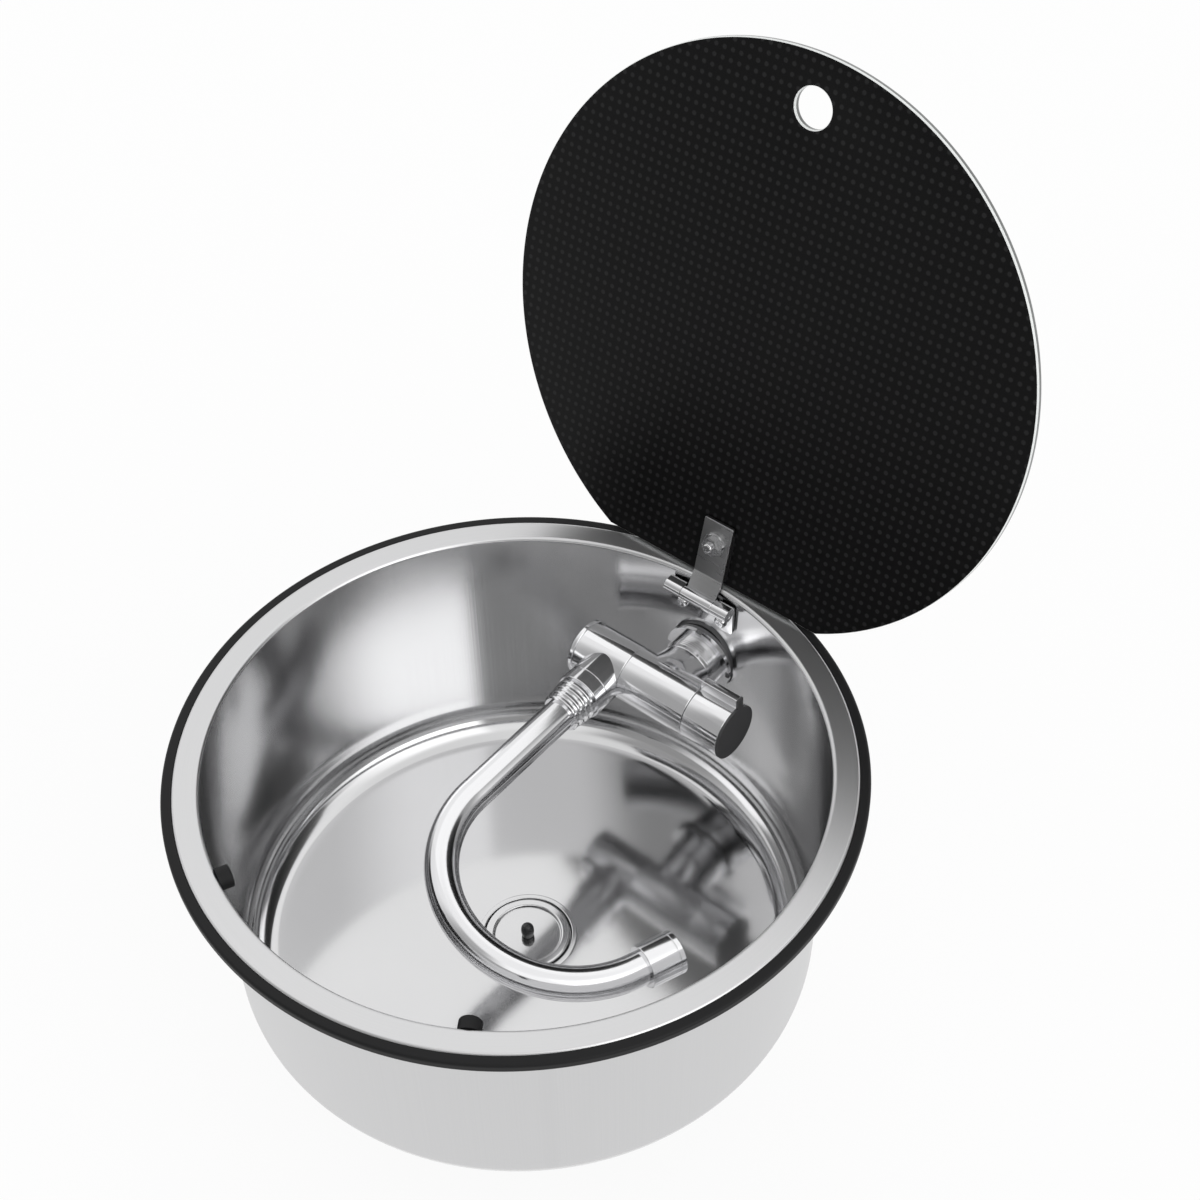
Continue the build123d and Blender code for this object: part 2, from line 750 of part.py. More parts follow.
with BuildPart() as hinge_leaf:
    with BuildSketch(facing_right(0)):
        with BuildLine():
            FilletPolyline(
                (hinge_y, hinge_z + knuckle_r),
                (leaf_back_y, hinge_z + knuckle_r),
                (leaf_back_y, leaf_low_z),
                radius=leaf_bend_r,
            )
            offset(amount=leaf_t, side=Side.RIGHT)
        make_face()
    extrude(amount=hinge_w / 2, both=True)
    fillet(hinge_leaf.faces().sort_by(Axis.Z)[0].edges().filter_by(Axis.Y), radius=leaf_corner_r)
    with BuildSketch(facing_front(hinge_y - knuckle_r)):
        with Locations((0, hinge_z - leaf_notch_drop)):
            Rectangle(notch_w, leaf_length, align=(Align.CENTER, Align.MIN))
    extrude(amount=-leaf_length, mode=Mode.SUBTRACT)
    for left_x in (-hinge_w / 2, notch_w / 2):
        with BuildSketch(facing_right(left_x)):
            with Locations((hinge_y, hinge_z)):
                Circle(knuckle_r)
        extrude(amount=(hinge_w - notch_w) / 2)
    with BuildSketch(facing_right(0)):
        with Locations((hinge_y, hinge_z)):
            Circle(pin_r + fit_gap)
    extrude(amount=hinge_w, both=True, mode=Mode.SUBTRACT)
    with BuildSketch(facing_front(leaf_front_y)):
        with Locations((-screw_x, screw_z), (screw_x, screw_z)):
            Circle(screw_r + fit_gap)
    extrude(amount=-leaf_t, mode=Mode.SUBTRACT)
save(hinge_leaf, "hinge_leaf")

with BuildPart() as hinge_pin:
    with BuildSketch(facing_right(0)):
        with Locations((hinge_y, hinge_z)):
            Circle(pin_r)
    extrude(amount=hinge_w / 2 - turn_gap, both=True)
save(hinge_pin, "hinge_pin")

# The washers stand on the outer face of the curved wall
screw_seat_y = wall_y(screw_x - screw_washer_r, screw_z + screw_washer_r, sheet_t) + seat_gap
screw_nut_y = screw_seat_y + screw_washer_t
screw_end_y = screw_nut_y + screw_nut_h + screw_spare
screw_spots = [(-screw_x, screw_z), (screw_x, screw_z)]

with BuildPart() as leaf_screws:
    with BuildSketch(facing_front(leaf_front_y)):
        with Locations(*screw_spots):
            Circle(screw_head_r)
    extrude(amount=screw_head_h)
    heads = leaf_screws.faces().filter_by(Axis.Y).group_by(Axis.Y)[0]
    fillet(heads.edges(), radius=screw_head_round)
    with BuildSketch(facing_front(leaf_front_y - screw_head_h)):
        with Locations(*screw_spots):
            Rectangle(2 * screw_socket_w, screw_slot_w)
            Rectangle(screw_slot_w, 2 * screw_socket_w)
    extrude(amount=-screw_slot_d, mode=Mode.SUBTRACT)
    with BuildSketch(facing_front(leaf_front_y)):
        with Locations(*screw_spots):
            Circle(screw_r)
    extrude(amount=-(screw_end_y - leaf_front_y))
save(leaf_screws, "leaf_screws")

with BuildPart() as leaf_washers:
    with BuildSketch(facing_front(screw_seat_y)):
        with Locations(*screw_spots):
            Circle(screw_washer_r)
            Circle(screw_r + fit_gap, mode=Mode.SUBTRACT)
    extrude(amount=-screw_washer_t)
save(leaf_washers, "leaf_washers")

with BuildPart() as leaf_nuts:
    with BuildSketch(facing_front(screw_nut_y)):
        with Locations(*screw_spots):
            RegularPolygon(screw_nut_af / 2, hex_sides, major_radius=False)
            Circle(screw_r + fit_gap, mode=Mode.SUBTRACT)
    extrude(amount=-screw_nut_h)
save(leaf_nuts, "leaf_nuts")

# ================================================================== tap body
# Profiles turned about the tap's axis have x as it is and the radius as the sketch's y.
tap_section = Plane(origin=(0, tap_y, tap_z), x_dir=(1, 0, 0), z_dir=(0, -1, 0))
tap_axis = Axis((0, tap_y, tap_z), (1, 0, 0))
spigot_section = Plane.XY.offset(spigot_z)
spigot_axis = Axis((0, 0, spigot_z), (0, 1, 0))
sleeve_right_x = barrel_left_x - turn_gap
sleeve_left_x = sleeve_right_x - sleeve_l
pocket_x = sleeve_left_x + sleeve_pocket_d
spindle_end_x = pocket_x - turn_gap
chamber_x = barrel_right_x - cartridge_nut_t - cartridge_l - cartridge_end_gap
port_x = spout_x + spindle_groove_w / 2
sleeve_pocket_r = barrel_r - sleeve_pocket_wall
cartridge_r = barrel_r - barrel_wall - fit_gap
oring_spots = [barrel_left_x - oring_inset, spindle_end_x + oring_inset]
ring_groove_r = spindle_r - fit_gap - 2 * oring_r


def neck_ring(y, z, radii):
    """Sketch of one section of the neck between the spigot and the barrel."""
    with BuildSketch(facing_front(y)) as section:
        with Locations((0, z)):
            Ellipse(*radii)
    return section.sketch


neck_top_y = spigot_front_y + spigot_round_r
waist_share = (neck_top_y - neck_waist_y) / (neck_top_y - neck_foot_y)
waist_z = spigot_z + (tap_z - spigot_z) * waist_share

with BuildPart() as tap_body:
    # barrel and spindle
    with BuildSketch(facing_right(barrel_left_x)):
        with Locations((tap_y, tap_z)):
            Circle(barrel_r)
    extrude(amount=barrel_right_x - barrel_left_x)
    fillet(tap_body.faces().filter_by(Axis.X).edges(), radius=barrel_round_r)
    with BuildSketch(facing_right(barrel_left_x)):
        with Locations((tap_y, tap_z)):
            Circle(spindle_r)
    extrude(amount=spindle_end_x - barrel_left_x)
    # neck
    loft(
        sections=[
            neck_ring(neck_foot_y, tap_z, neck_foot),
            neck_ring(neck_waist_y, waist_z, neck_waist),
            neck_ring(neck_top_y, spigot_z, neck_top),
        ]
    )
    # threaded spigot
    with BuildSketch(facing_front(spigot_front_y)):
        with Locations((0, spigot_z)):
            Circle(thread_r)
    extrude(amount=-spigot_length)
    nose = tap_body.edges().filter_by(GeomType.CIRCLE).filter_by_position(
        Axis.Y, spigot_front_y - seat_gap, spigot_front_y + seat_gap
    )
    fillet(nose, radius=spigot_round_r)
    with BuildSketch(spigot_section):
        for turn in range(thread_turns):
            with Locations((thread_r, neck_top_y + (turn + 1) * thread_pitch)):
                RegularPolygon(thread_depth, thread_groove_sides)
    revolve(axis=spigot_axis, mode=Mode.SUBTRACT)
    # chamber, bores and ports
    with BuildSketch(facing_right(chamber_x)):
        with Locations((tap_y, tap_z)):
            Circle(cartridge_r + fit_gap)
    extrude(amount=barrel_right_x - chamber_x, mode=Mode.SUBTRACT)
    with BuildSketch(facing_right(spout_x - spindle_bore_r)):
        with Locations((tap_y, tap_z)):
            Circle(spindle_bore_r)
    extrude(amount=chamber_x - spout_x + spindle_bore_r, mode=Mode.SUBTRACT)
    with BuildSketch(facing_right(port_x)):
        with Locations((tap_y, tap_z)):
            Circle(spindle_r)
            Circle(spindle_r - spindle_groove_d, mode=Mode.SUBTRACT)
    extrude(amount=-spindle_groove_w, mode=Mode.SUBTRACT)
    with BuildSketch(facing_front(tap_y)):
        with Locations((spout_x, tap_z)):
            Circle(spindle_port_r)
    extrude(amount=spindle_r, both=True, mode=Mode.SUBTRACT)
    with BuildSketch(tap_section):
        for x in oring_spots:
            with Locations((x, ring_groove_r)):
                Rectangle(2 * oring_r + seat_gap, 2 * spindle_r, align=(Align.CENTER, Align.MIN))
    revolve(axis=tap_axis, mode=Mode.SUBTRACT)
    with BuildSketch(facing_right(spindle_end_x)):
        with Locations((tap_y, tap_z)):
            Circle(spindle_screw_r + fit_gap)
    extrude(amount=spindle_screw_l, mode=Mode.SUBTRACT)
    with BuildSketch(facing_front(spigot_back_y)):
        with Locations((0, spigot_z)):
            Circle(inlet_r + fit_gap)
    extrude(amount=spigot_bore_l, mode=Mode.SUBTRACT)
    bore_from = Vector(0, spigot_back_y - spigot_bore_l + neck_bore_r, spigot_z)
    bore_to = Vector(neck_bore_r, tap_y, tap_z)
    with BuildSketch(Plane(origin=bore_from, z_dir=bore_to - bore_from)):
        Circle(neck_bore_r)
    extrude(amount=(bore_to - bore_from).length, mode=Mode.SUBTRACT)
save(tap_body, "tap_body")

with BuildPart() as spindle_rings:
    with BuildSketch(tap_section):
        for x in oring_spots:
            with Locations((x, ring_groove_r + oring_r)):
                Circle(oring_r)
    revolve(axis=tap_axis)
save(spindle_rings, "spindle_rings")

with BuildPart() as spindle_washer:
    with BuildSketch(facing_right(spindle_end_x)):
        with Locations((tap_y, tap_z)):
            Circle(sleeve_pocket_r - spindle_washer_gap)
            Circle(spindle_screw_r + fit_gap, mode=Mode.SUBTRACT)
    extrude(amount=-spindle_washer_t)
save(spindle_washer, "spindle_washer")

with BuildPart() as spindle_screw:
    with BuildSketch(facing_right(spindle_end_x - spindle_washer_t)):
        with Locations((tap_y, tap_z)):
            Circle(spindle_screw_head_r)
    extrude(amount=-spindle_screw_head_h)
    with BuildSketch(facing_right(spindle_end_x - spindle_washer_t)):
        with Locations((tap_y, tap_z)):
            Circle(spindle_screw_r)
    extrude(amount=spindle_screw_l - seat_gap)
save(spindle_screw, "spindle_screw")

# ------------------------------------------------------------------ valve
cartridge_x = chamber_x + cartridge_end_gap
cartridge_end_x = cartridge_x + cartridge_l
stem_start_x = barrel_right_x - stem_seat
stem_end_x = barrel_right_x + stem_reach
waist_x = neck_bore_r + cartridge_waist_w / 2

with BuildPart() as valve_cartridge:
    with BuildSketch(facing_right(cartridge_x)):
        with Locations((tap_y, tap_z)):
            Circle(cartridge_r)
    extrude(amount=cartridge_l)
    with BuildSketch(facing_right(waist_x)):
        with Locations((tap_y, tap_z)):
            Circle(cartridge_r)
            Circle(cartridge_waist_r, mode=Mode.SUBTRACT)
    extrude(amount=-cartridge_waist_w, mode=Mode.SUBTRACT)
    with BuildSketch(facing_right(stem_start_x - seat_gap)):
        with Locations((tap_y, tap_z)):
            Circle(stem_r + fit_gap)
    extrude(amount=barrel_right_x - stem_start_x, mode=Mode.SUBTRACT)
save(valve_cartridge, "valve_cartridge")

with BuildPart() as cartridge_nut:
    with BuildSketch(facing_right(cartridge_end_x)):
        with Locations((tap_y, tap_z)):
            Circle(cartridge_r)
            Circle(cartridge_nut_bore_r, mode=Mode.SUBTRACT)
    extrude(amount=cartridge_nut_t)
save(cartridge_nut, "cartridge_nut")

# ================================================================== wall fixing of the tap
ring_nut_y = wall_y(0, spigot_z) - seat_gap - wall_gasket_t - ring_nut_t
gasket_front_y = ring_nut_y + ring_nut_t
outer_face_y = wall_y(0, spigot_z + wall_gasket_r, sheet_t) + outer_gasket_t
washer_back_y = outer_face_y + back_washer_t


def spigot_disc(outer_r):
    """Ring sketched round the spigot's axis, to be placed by a spigot plane."""
    with Locations((0, spigot_z)):
        Circle(outer_r)
        Circle(thread_r + fit_gap, mode=Mode.SUBTRACT)


with BuildPart() as tap_ring_nut:
    with BuildSketch(facing_front(ring_nut_y)):
        with Locations((0, spigot_z)):
            Circle(ring_nut_r)
            with PolarLocations(ring_nut_r, ring_nut_notches):
                Rectangle(2 * ring_nut_notch_d, ring_nut_notch_w, mode=Mode.SUBTRACT)
            Circle(thread_r + fit_gap, mode=Mode.SUBTRACT)
    extrude(amount=-ring_nut_t)
save(tap_ring_nut, "tap_ring_nut")

with BuildPart() as tap_gasket_inner:
    with BuildSketch(facing_front(gasket_front_y)):
        spigot_disc(wall_gasket_r)
    extrude(amount=-(wall_gasket_t + seat_gap))
    add(inside_wall, mode=Mode.INTERSECT)
save(tap_gasket_inner, "tap_gasket_inner")

with BuildPart() as tap_gasket_outer:
    with BuildSketch(facing_front(outer_face_y)):
        spigot_disc(wall_gasket_r)
    extrude(amount=outer_gasket_t + sheet_t + wall_gasket_t)
    add(outside_wall, mode=Mode.SUBTRACT)
save(tap_gasket_outer, "tap_gasket_outer")

with BuildPart() as tap_back_washer:
    with BuildSketch(facing_front(outer_face_y)):
        spigot_disc(ring_nut_r - back_washer_inset)
    extrude(amount=-back_washer_t)
save(tap_back_washer, "tap_back_washer")

with BuildPart() as tap_backnut:
    with BuildSketch(facing_front(washer_back_y)):
        with Locations((0, spigot_z)):
            RegularPolygon(thread_r + backnut_wall, hex_sides, major_radius=False)
            Circle(thread_r + fit_gap, mode=Mode.SUBTRACT)
    extrude(amount=-backnut_h)
save(tap_backnut, "tap_backnut")

with BuildPart() as inlet_nipple:
    with BuildSketch(facing_front(spigot_back_y)):
        with Locations((0, spigot_z)):
            Circle(inlet_r)
    extrude(amount=inlet_seat_l)
    with BuildSketch(facing_front(spigot_back_y)):
        with Locations((0, spigot_z)):
            RegularPolygon(inlet_r + inlet_hex_wall, hex_sides, major_radius=False)
    extrude(amount=-inlet_hex_h)
    with BuildSketch(facing_front(spigot_back_y + inlet_hex_h)):
        with Locations((0, spigot_z)):
            Circle(inlet_r)
    extrude(amount=-inlet_length)
    with BuildSketch(facing_front(spigot_back_y + inlet_hex_h + inlet_length)):
        with Locations((0, spigot_z)):
            Circle(inlet_bore_r)
    extrude(amount=inlet_length + inlet_hex_h + inlet_seat_l, mode=Mode.SUBTRACT)
save(inlet_nipple, "inlet_nipple")

# ================================================================== spout sleeve
# Profiles turned about the spout's axis have the radius as x and the distance from the tap's
# axis towards the front as y.
spout_section = Plane(origin=(spout_x, tap_y, tap_z), x_dir=(1, 0, 0), z_dir=(0, 0, -1))
spout_axis = Axis((spout_x, tap_y, tap_z), (0, -1, 0))
socket_end_y = tap_y - socket_reach
cap_r = barrel_r + cap_lip


def round_spout(y, radius):
    """Circle round the spout's axis on the plane at y."""
    with BuildSketch(facing_front(y)) as section:
        with Locations((spout_x, tap_z)):
            Circle(radius)
    return section.sketch


with BuildPart() as spout_sleeve:
    with BuildSketch(facing_right(sleeve_left_x)):
        with Locations((tap_y, tap_z)):
            Circle(barrel_r)
    extrude(amount=sleeve_l)
    fillet(spout_sleeve.faces().filter_by(Axis.X).edges(), radius=barrel_round_r)
    extrude(round_spout(tap_y, socket_r), amount=socket_reach)
    with BuildSketch(facing_front(tap_y - socket_groove_at)):
        with Locations((spout_x, tap_z)):
            Circle(socket_r)
            Circle(socket_r - socket_groove_d, mode=Mode.SUBTRACT)
    extrude(amount=socket_groove_w, mode=Mode.SUBTRACT)
    # the socket turns past the barrel's end
    with BuildSketch(facing_right(sleeve_right_x)):
        with Locations((tap_y, tap_z)):
            Circle(barrel_r + turn_gap)
    extrude(amount=socket_r, mode=Mode.SUBTRACT)
    # bores
    socket_bore = round_spout(socket_end_y, socket_bore_r)
    extrude(socket_bore, amount=socket_seat_at - socket_reach, mode=Mode.SUBTRACT)
    extrude(round_spout(tap_y, spindle_groove_w / 2), amount=socket_seat_at, mode=Mode.SUBTRACT)
    with BuildSketch(facing_right(sleeve_left_x)):
        with Locations((tap_y, tap_z)):
            Circle(spindle_r + fit_gap)
    extrude(amount=sleeve_l, mode=Mode.SUBTRACT)
    with BuildSketch(facing_right(sleeve_left_x)):
        with Locations((tap_y, tap_z)):
            Circle(sleeve_pocket_r)
    extrude(amount=sleeve_pocket_d, mode=Mode.SUBTRACT)
save(spout_sleeve, "spout_sleeve")

with BuildPart() as sleeve_cap:
    with BuildSketch(facing_right(sleeve_left_x)):
        with Locations((tap_y, tap_z)):
            Circle(cap_r)
    extrude(amount=-cap_t)
    with BuildSketch(facing_right(sleeve_left_x - cap_t)):
        with Locations((tap_y, tap_z)):
            Circle(cap_r - cap_step_inset)
    extrude(amount=-cap_step_t)
    fillet(sleeve_cap.faces().sort_by(Axis.X)[0].edges(), radius=cap_step_t / 2)
    with BuildSketch(facing_right(sleeve_left_x)):
        with Locations((tap_y, tap_z)):
            Circle(sleeve_pocket_r - fit_gap)
            Circle(sleeve_pocket_r - cap_ring_wall, mode=Mode.SUBTRACT)
    extrude(amount=cap_ring_l)
save(sleeve_cap, "sleeve_cap")

# ------------------------------------------------------------------ ribbed nut of the spout
spout_nut_r = spout_r + fit_gap + spout_nut_wall
nut_pitch = spout_nut_l / spout_nut_ribs
nut_end = socket_reach + spout_nut_l

with BuildPart() as spout_nut:
    with BuildSketch(spout_section):
        with BuildLine():
            nut_points = [(spout_nut_r - spout_nut_root, socket_reach)]
            for rib in range(spout_nut_ribs):
                rib_end = socket_reach + (rib + 1) * nut_pitch
                crest_end = rib_end - spout_nut_flank_w
                crest_start = crest_end - spout_nut_crest_w
                crest_r = spout_nut_r - rib * spout_nut_taper
                root_r = crest_r - spout_nut_root
                nut_points += [
                    (root_r, crest_start - spout_nut_flank_w),
                    (crest_r, crest_start),
                    (crest_r, crest_end),
                    (root_r, rib_end),
                ]
            Polyline(
                (spout_r + fit_gap, socket_reach - spout_nut_nose_l),
                (tube_collar_r + fit_gap, socket_reach - spout_nut_nose_l),
                (tube_collar_r + fit_gap, socket_reach),
                *nut_points,
                (spout_r + fit_gap, nut_end),
                close=True,
            )
        make_face()
    revolve(axis=spout_axis)
save(spout_nut, "spout_nut")

# ================================================================== spout
# The bend lies in a plane through the spout's axis, with x to its right and y to the back.
droop = math.radians(spout_droop)
bend_plane = Plane(
    origin=(spout_x, tap_y, tap_z),
    x_dir=(math.cos(droop), 0, -math.sin(droop)),
    z_dir=(math.sin(droop), 0, math.cos(droop)),
)
spout_start = Vector(spout_x, tap_y - socket_seat_at, tap_z)

with BuildPart() as spout_tube:
    with BuildLine(bend_plane) as spout_path:
        Line((0, -socket_seat_at), (0, -spout_run))
        bend = CenterArc((spout_bend_r, -spout_run), spout_bend_r, 2 * upright, spout_bend)
        bend_end = bend @ 1
        outlet_dir = bend % 1
        Line(bend_end, bend_end + outlet_dir * (outlet_at + outlet_grip_l))
    with BuildSketch(facing_front(spout_start.Y)):
        with Locations((spout_x, tap_z)):
            Circle(spout_r)
            Circle(spout_r - spout_wall, mode=Mode.SUBTRACT)
    sweep(path=spout_path.wires()[0])
    with BuildSketch(facing_front(spout_start.Y)):
        with Locations((spout_x, tap_z)):
            Circle(tube_collar_r)
            Circle(spout_r - spout_wall, mode=Mode.SUBTRACT)
    extrude(amount=tube_collar_t)
save(spout_tube, "spout_tube")

with BuildPart() as spout_bush:
    with BuildSketch(facing_front(spout_start.Y - tube_collar_t)):
        with Locations((spout_x, tap_z)):
            Circle(tube_collar_r)
            Circle(spout_r + fit_gap, mode=Mode.SUBTRACT)
    extrude(amount=spout_bush_t)
save(spout_bush, "spout_bush")

# ------------------------------------------------------------------ outlet
outlet_plane = Plane(origin=bend_end + outlet_dir * outlet_at, z_dir=outlet_dir)
outlet_r = spout_r + fit_gap + outlet_grip_wall
outlet_bore_r = outlet_r - outlet_wall

with BuildPart() as outlet_sleeve:
    with BuildSketch(outlet_plane):
        Circle(outlet_r)
    extrude(amount=outlet_l)
    fillet(outlet_sleeve.faces().filter_by(outlet_plane).edges(), radius=barrel_round_r)
    with BuildSketch(outlet_plane.offset(outlet_l - outlet_groove_at)):
        Circle(outlet_r)
        Circle(outlet_r - outlet_groove_d, mode=Mode.SUBTRACT)
    extrude(amount=-outlet_groove_w, mode=Mode.SUBTRACT)
    with BuildSketch(outlet_plane):
        Circle(spout_r + fit_gap)
    extrude(amount=outlet_grip_l + fit_gap, mode=Mode.SUBTRACT)
    with BuildSketch(outlet_plane.offset(outlet_l)):
        Circle(outlet_bore_r)
    extrude(amount=outlet_grip_l + fit_gap - outlet_l, mode=Mode.SUBTRACT)
save(outlet_sleeve, "outlet_sleeve")

with BuildPart() as outlet_insert:
    with BuildSketch(outlet_plane.offset(outlet_l - insert_recess)):
        Circle(outlet_bore_r - fit_gap)
        with PolarLocations(insert_ring_r, insert_holes):
            Circle(insert_hole_r, mode=Mode.SUBTRACT)
        with PolarLocations(insert_ring_r / 2, insert_holes // 2):
            Circle(insert_hole_r, mode=Mode.SUBTRACT)
    extrude(amount=-insert_t)
save(outlet_insert, "outlet_insert")

# ================================================================== knob
knob_x = barrel_right_x + knob_gap
knob_end_x = knob_x + knob_l
fin_y = tap_y + fin_back

with BuildPart() as control_knob:
    with BuildSketch(facing_right(knob_x)):
        with Locations((tap_y, tap_z)):
            Circle(barrel_r)
    extrude(amount=knob_l)
    fillet(control_knob.edges().group_by(Axis.X)[0], radius=barrel_round_r)
    # lever plate on the knob's back
    with BuildSketch(facing_front(fin_y)):
        Polygon(
            (knob_x, tap_z),
            (knob_end_x, tap_z),
            (knob_end_x, tap_z + fin_reach),
            (knob_x + fin_slope_l, tap_z + fin_reach),
            (knob_x, tap_z + barrel_r),
            align=None,
        )
    extrude(amount=fin_w / 2, both=True)
    # bores for the stem, its screw and the skirt round the barrel's end
    with BuildSketch(facing_right(knob_x)):
        with Locations((tap_y, tap_z)):
            Circle(knob_hollow_r)
    extrude(amount=knob_hollow_l, mode=Mode.SUBTRACT)
    with BuildSketch(facing_right(knob_x)):
        with Locations((tap_y, tap_z)):
            Circle(stem_r + fit_gap)
    extrude(amount=stem_end_x - knob_x, mode=Mode.SUBTRACT)
    with BuildSketch(facing_right(stem_end_x)):
        with Locations((tap_y, tap_z)):
            Circle(knob_screw_r + fit_gap)
    extrude(amount=knob_end_x - stem_end_x, mode=Mode.SUBTRACT)
    with BuildSketch(facing_right(knob_end_x)):
        with Locations((tap_y, tap_z)):
            Circle(knob_screw_head_r + seat_gap)
    extrude(amount=-(knob_screw_head_h + seat_gap), mode=Mode.SUBTRACT)
save(control_knob, "control_knob")

with BuildPart() as knob_end_plate:
    with BuildSketch(facing_right(knob_end_x)):
        with Locations((tap_y, tap_z)):
            Circle(barrel_r)
        with Locations((fin_y, tap_z)):
            Rectangle(fin_w, fin_reach, align=(Align.CENTER, Align.MIN))
    extrude(amount=end_plate_t)
save(knob_end_plate, "knob_end_plate")

with BuildPart() as valve_stem:
    with BuildSketch(facing_right(stem_start_x)):
        with Locations((tap_y, tap_z)):
            Circle(stem_r)
    extrude(amount=stem_end_x - stem_start_x)
    with BuildSketch(facing_right(stem_end_x)):
        with Locations((tap_y, tap_z)):
            Circle(knob_screw_r + fit_gap)
    extrude(amount=-knob_screw_l, mode=Mode.SUBTRACT)
save(valve_stem, "valve_stem")

with BuildPart() as knob_screw:
    head_x = knob_end_x - seat_gap
    with BuildSketch(facing_right(head_x)):
        with Locations((tap_y, tap_z)):
            Circle(knob_screw_head_r)
    extrude(amount=-knob_screw_head_h)
    with BuildSketch(facing_right(head_x - knob_screw_head_h)):
        with Locations((tap_y, tap_z)):
            Circle(knob_screw_r)
    extrude(amount=-knob_screw_l)
save(knob_screw, "knob_screw")
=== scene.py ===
"""A round inset sink: its pressed bowl, black glass lid, folding tap and plugged waste."""

import math

import bpy
import numpy as np
from bpy.props import FloatProperty, FloatVectorProperty, PointerProperty
from mathutils import Matrix, Vector


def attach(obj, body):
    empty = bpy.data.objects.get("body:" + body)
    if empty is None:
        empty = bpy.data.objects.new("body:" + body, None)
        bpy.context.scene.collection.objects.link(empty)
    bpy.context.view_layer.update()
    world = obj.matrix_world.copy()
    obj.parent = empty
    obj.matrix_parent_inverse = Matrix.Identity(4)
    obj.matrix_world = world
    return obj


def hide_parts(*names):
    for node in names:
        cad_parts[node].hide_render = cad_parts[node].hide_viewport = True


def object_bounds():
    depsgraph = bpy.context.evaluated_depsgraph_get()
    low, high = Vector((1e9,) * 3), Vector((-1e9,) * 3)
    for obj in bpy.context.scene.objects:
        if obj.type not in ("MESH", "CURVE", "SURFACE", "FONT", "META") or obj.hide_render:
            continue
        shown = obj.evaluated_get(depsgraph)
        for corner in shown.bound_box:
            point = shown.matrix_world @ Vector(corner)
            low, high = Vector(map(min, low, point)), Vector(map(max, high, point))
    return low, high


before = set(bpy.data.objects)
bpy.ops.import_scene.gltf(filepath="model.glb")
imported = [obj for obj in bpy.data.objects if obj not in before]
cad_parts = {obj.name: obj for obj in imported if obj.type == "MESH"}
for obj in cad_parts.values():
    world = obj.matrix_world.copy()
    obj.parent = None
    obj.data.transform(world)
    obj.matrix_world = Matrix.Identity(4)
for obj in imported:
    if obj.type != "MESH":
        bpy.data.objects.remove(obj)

bl_info = {
    "name": "Inset Sink",
    "version": (1, 0, 0),
    "blender": (4, 5, 0),
    "location": "View3D > Sidebar > Sink",
    "description": "Builds the visible surfaces and finishes of a round inset sink with a glass lid",
    "category": "Add Mesh",
}

CAD_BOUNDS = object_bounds()
TURN = 2 * math.pi


# ---------------------------------------------------------------------------------- sizes
def length(label, text, default):
    """A property that holds a length in metres."""
    return FloatProperty(name=label, description=text, default=default, unit="LENGTH", precision=5)


def angle(label, text, degrees):
    """A property that holds an angle, given here in degrees."""
    turn = math.radians(degrees)
    return FloatProperty(name=label, description=text, default=turn, subtype="ANGLE")


def share(label, text, default):
    """A property that holds a share of one."""
    return FloatProperty(
        name=label, description=text, default=default, min=0, max=1, subtype="FACTOR"
    )


def tint(label, text, default):
    """A property that holds a linear colour."""
    return FloatVectorProperty(
        name=label, description=text, default=default, size=3, min=0, max=1, subtype="COLOR"
    )


class BowlSizes(bpy.types.PropertyGroup):
    """Sizes of the bowl and its rim seal."""

    sheet: length("Sheet", "Thickness of the pressed sheet", 0.001)
    rim_top: length("Rim top", "Height of the rim above the worktop", 0.007)
    rim_edge: length("Rim edge", "Radius of the rim", 0.194)
    lip_drop: length("Lip drop", "Height of the turned-down edge", 0.0038)
    lip_bend: length("Lip bend", "Radius of the bend at the rim's edge", 0.0018)
    rim_bend: length("Rim bend", "Radius of the bend from rim to wall", 0.0025)
    wall_top: length("Wall top", "Radius of the wall at the rim", 0.1785)
    draft: angle("Draft", "Lean of the wall", 2)
    depth: length("Depth", "Rim top to the floor's outer edge", 0.164)
    corner: length("Corner", "Radius of the bend from wall to floor", 0.023)
    floor_fall: length("Floor fall", "Slope of the floor down to the waste", 0.003)
    recess: length("Recess", "Radius of the recess round the waste", 0.0285)
    recess_drop: length("Recess drop", "Depth of that recess", 0.005)
    recess_bend: length("Recess bend", "Bend radius of that recess", 0.0014)
    drain: length("Drain", "Radius of the hole for the waste", 0.02135)
    seal_edge: length("Seal edge", "Outer radius of the rim seal", 0.2)
    seal_top: length("Seal top", "Height of the rim seal", 0.0062)
    seal_foot: length("Seal foot", "Width of the seal's foot under the lip", 0.004)
    seal_round: length("Seal round", "Rounding of the seal's outer edges", 0.0018)
    seal_edge_round: length("Seal inner round", "Rounding of its inner top edge", 0.0002)


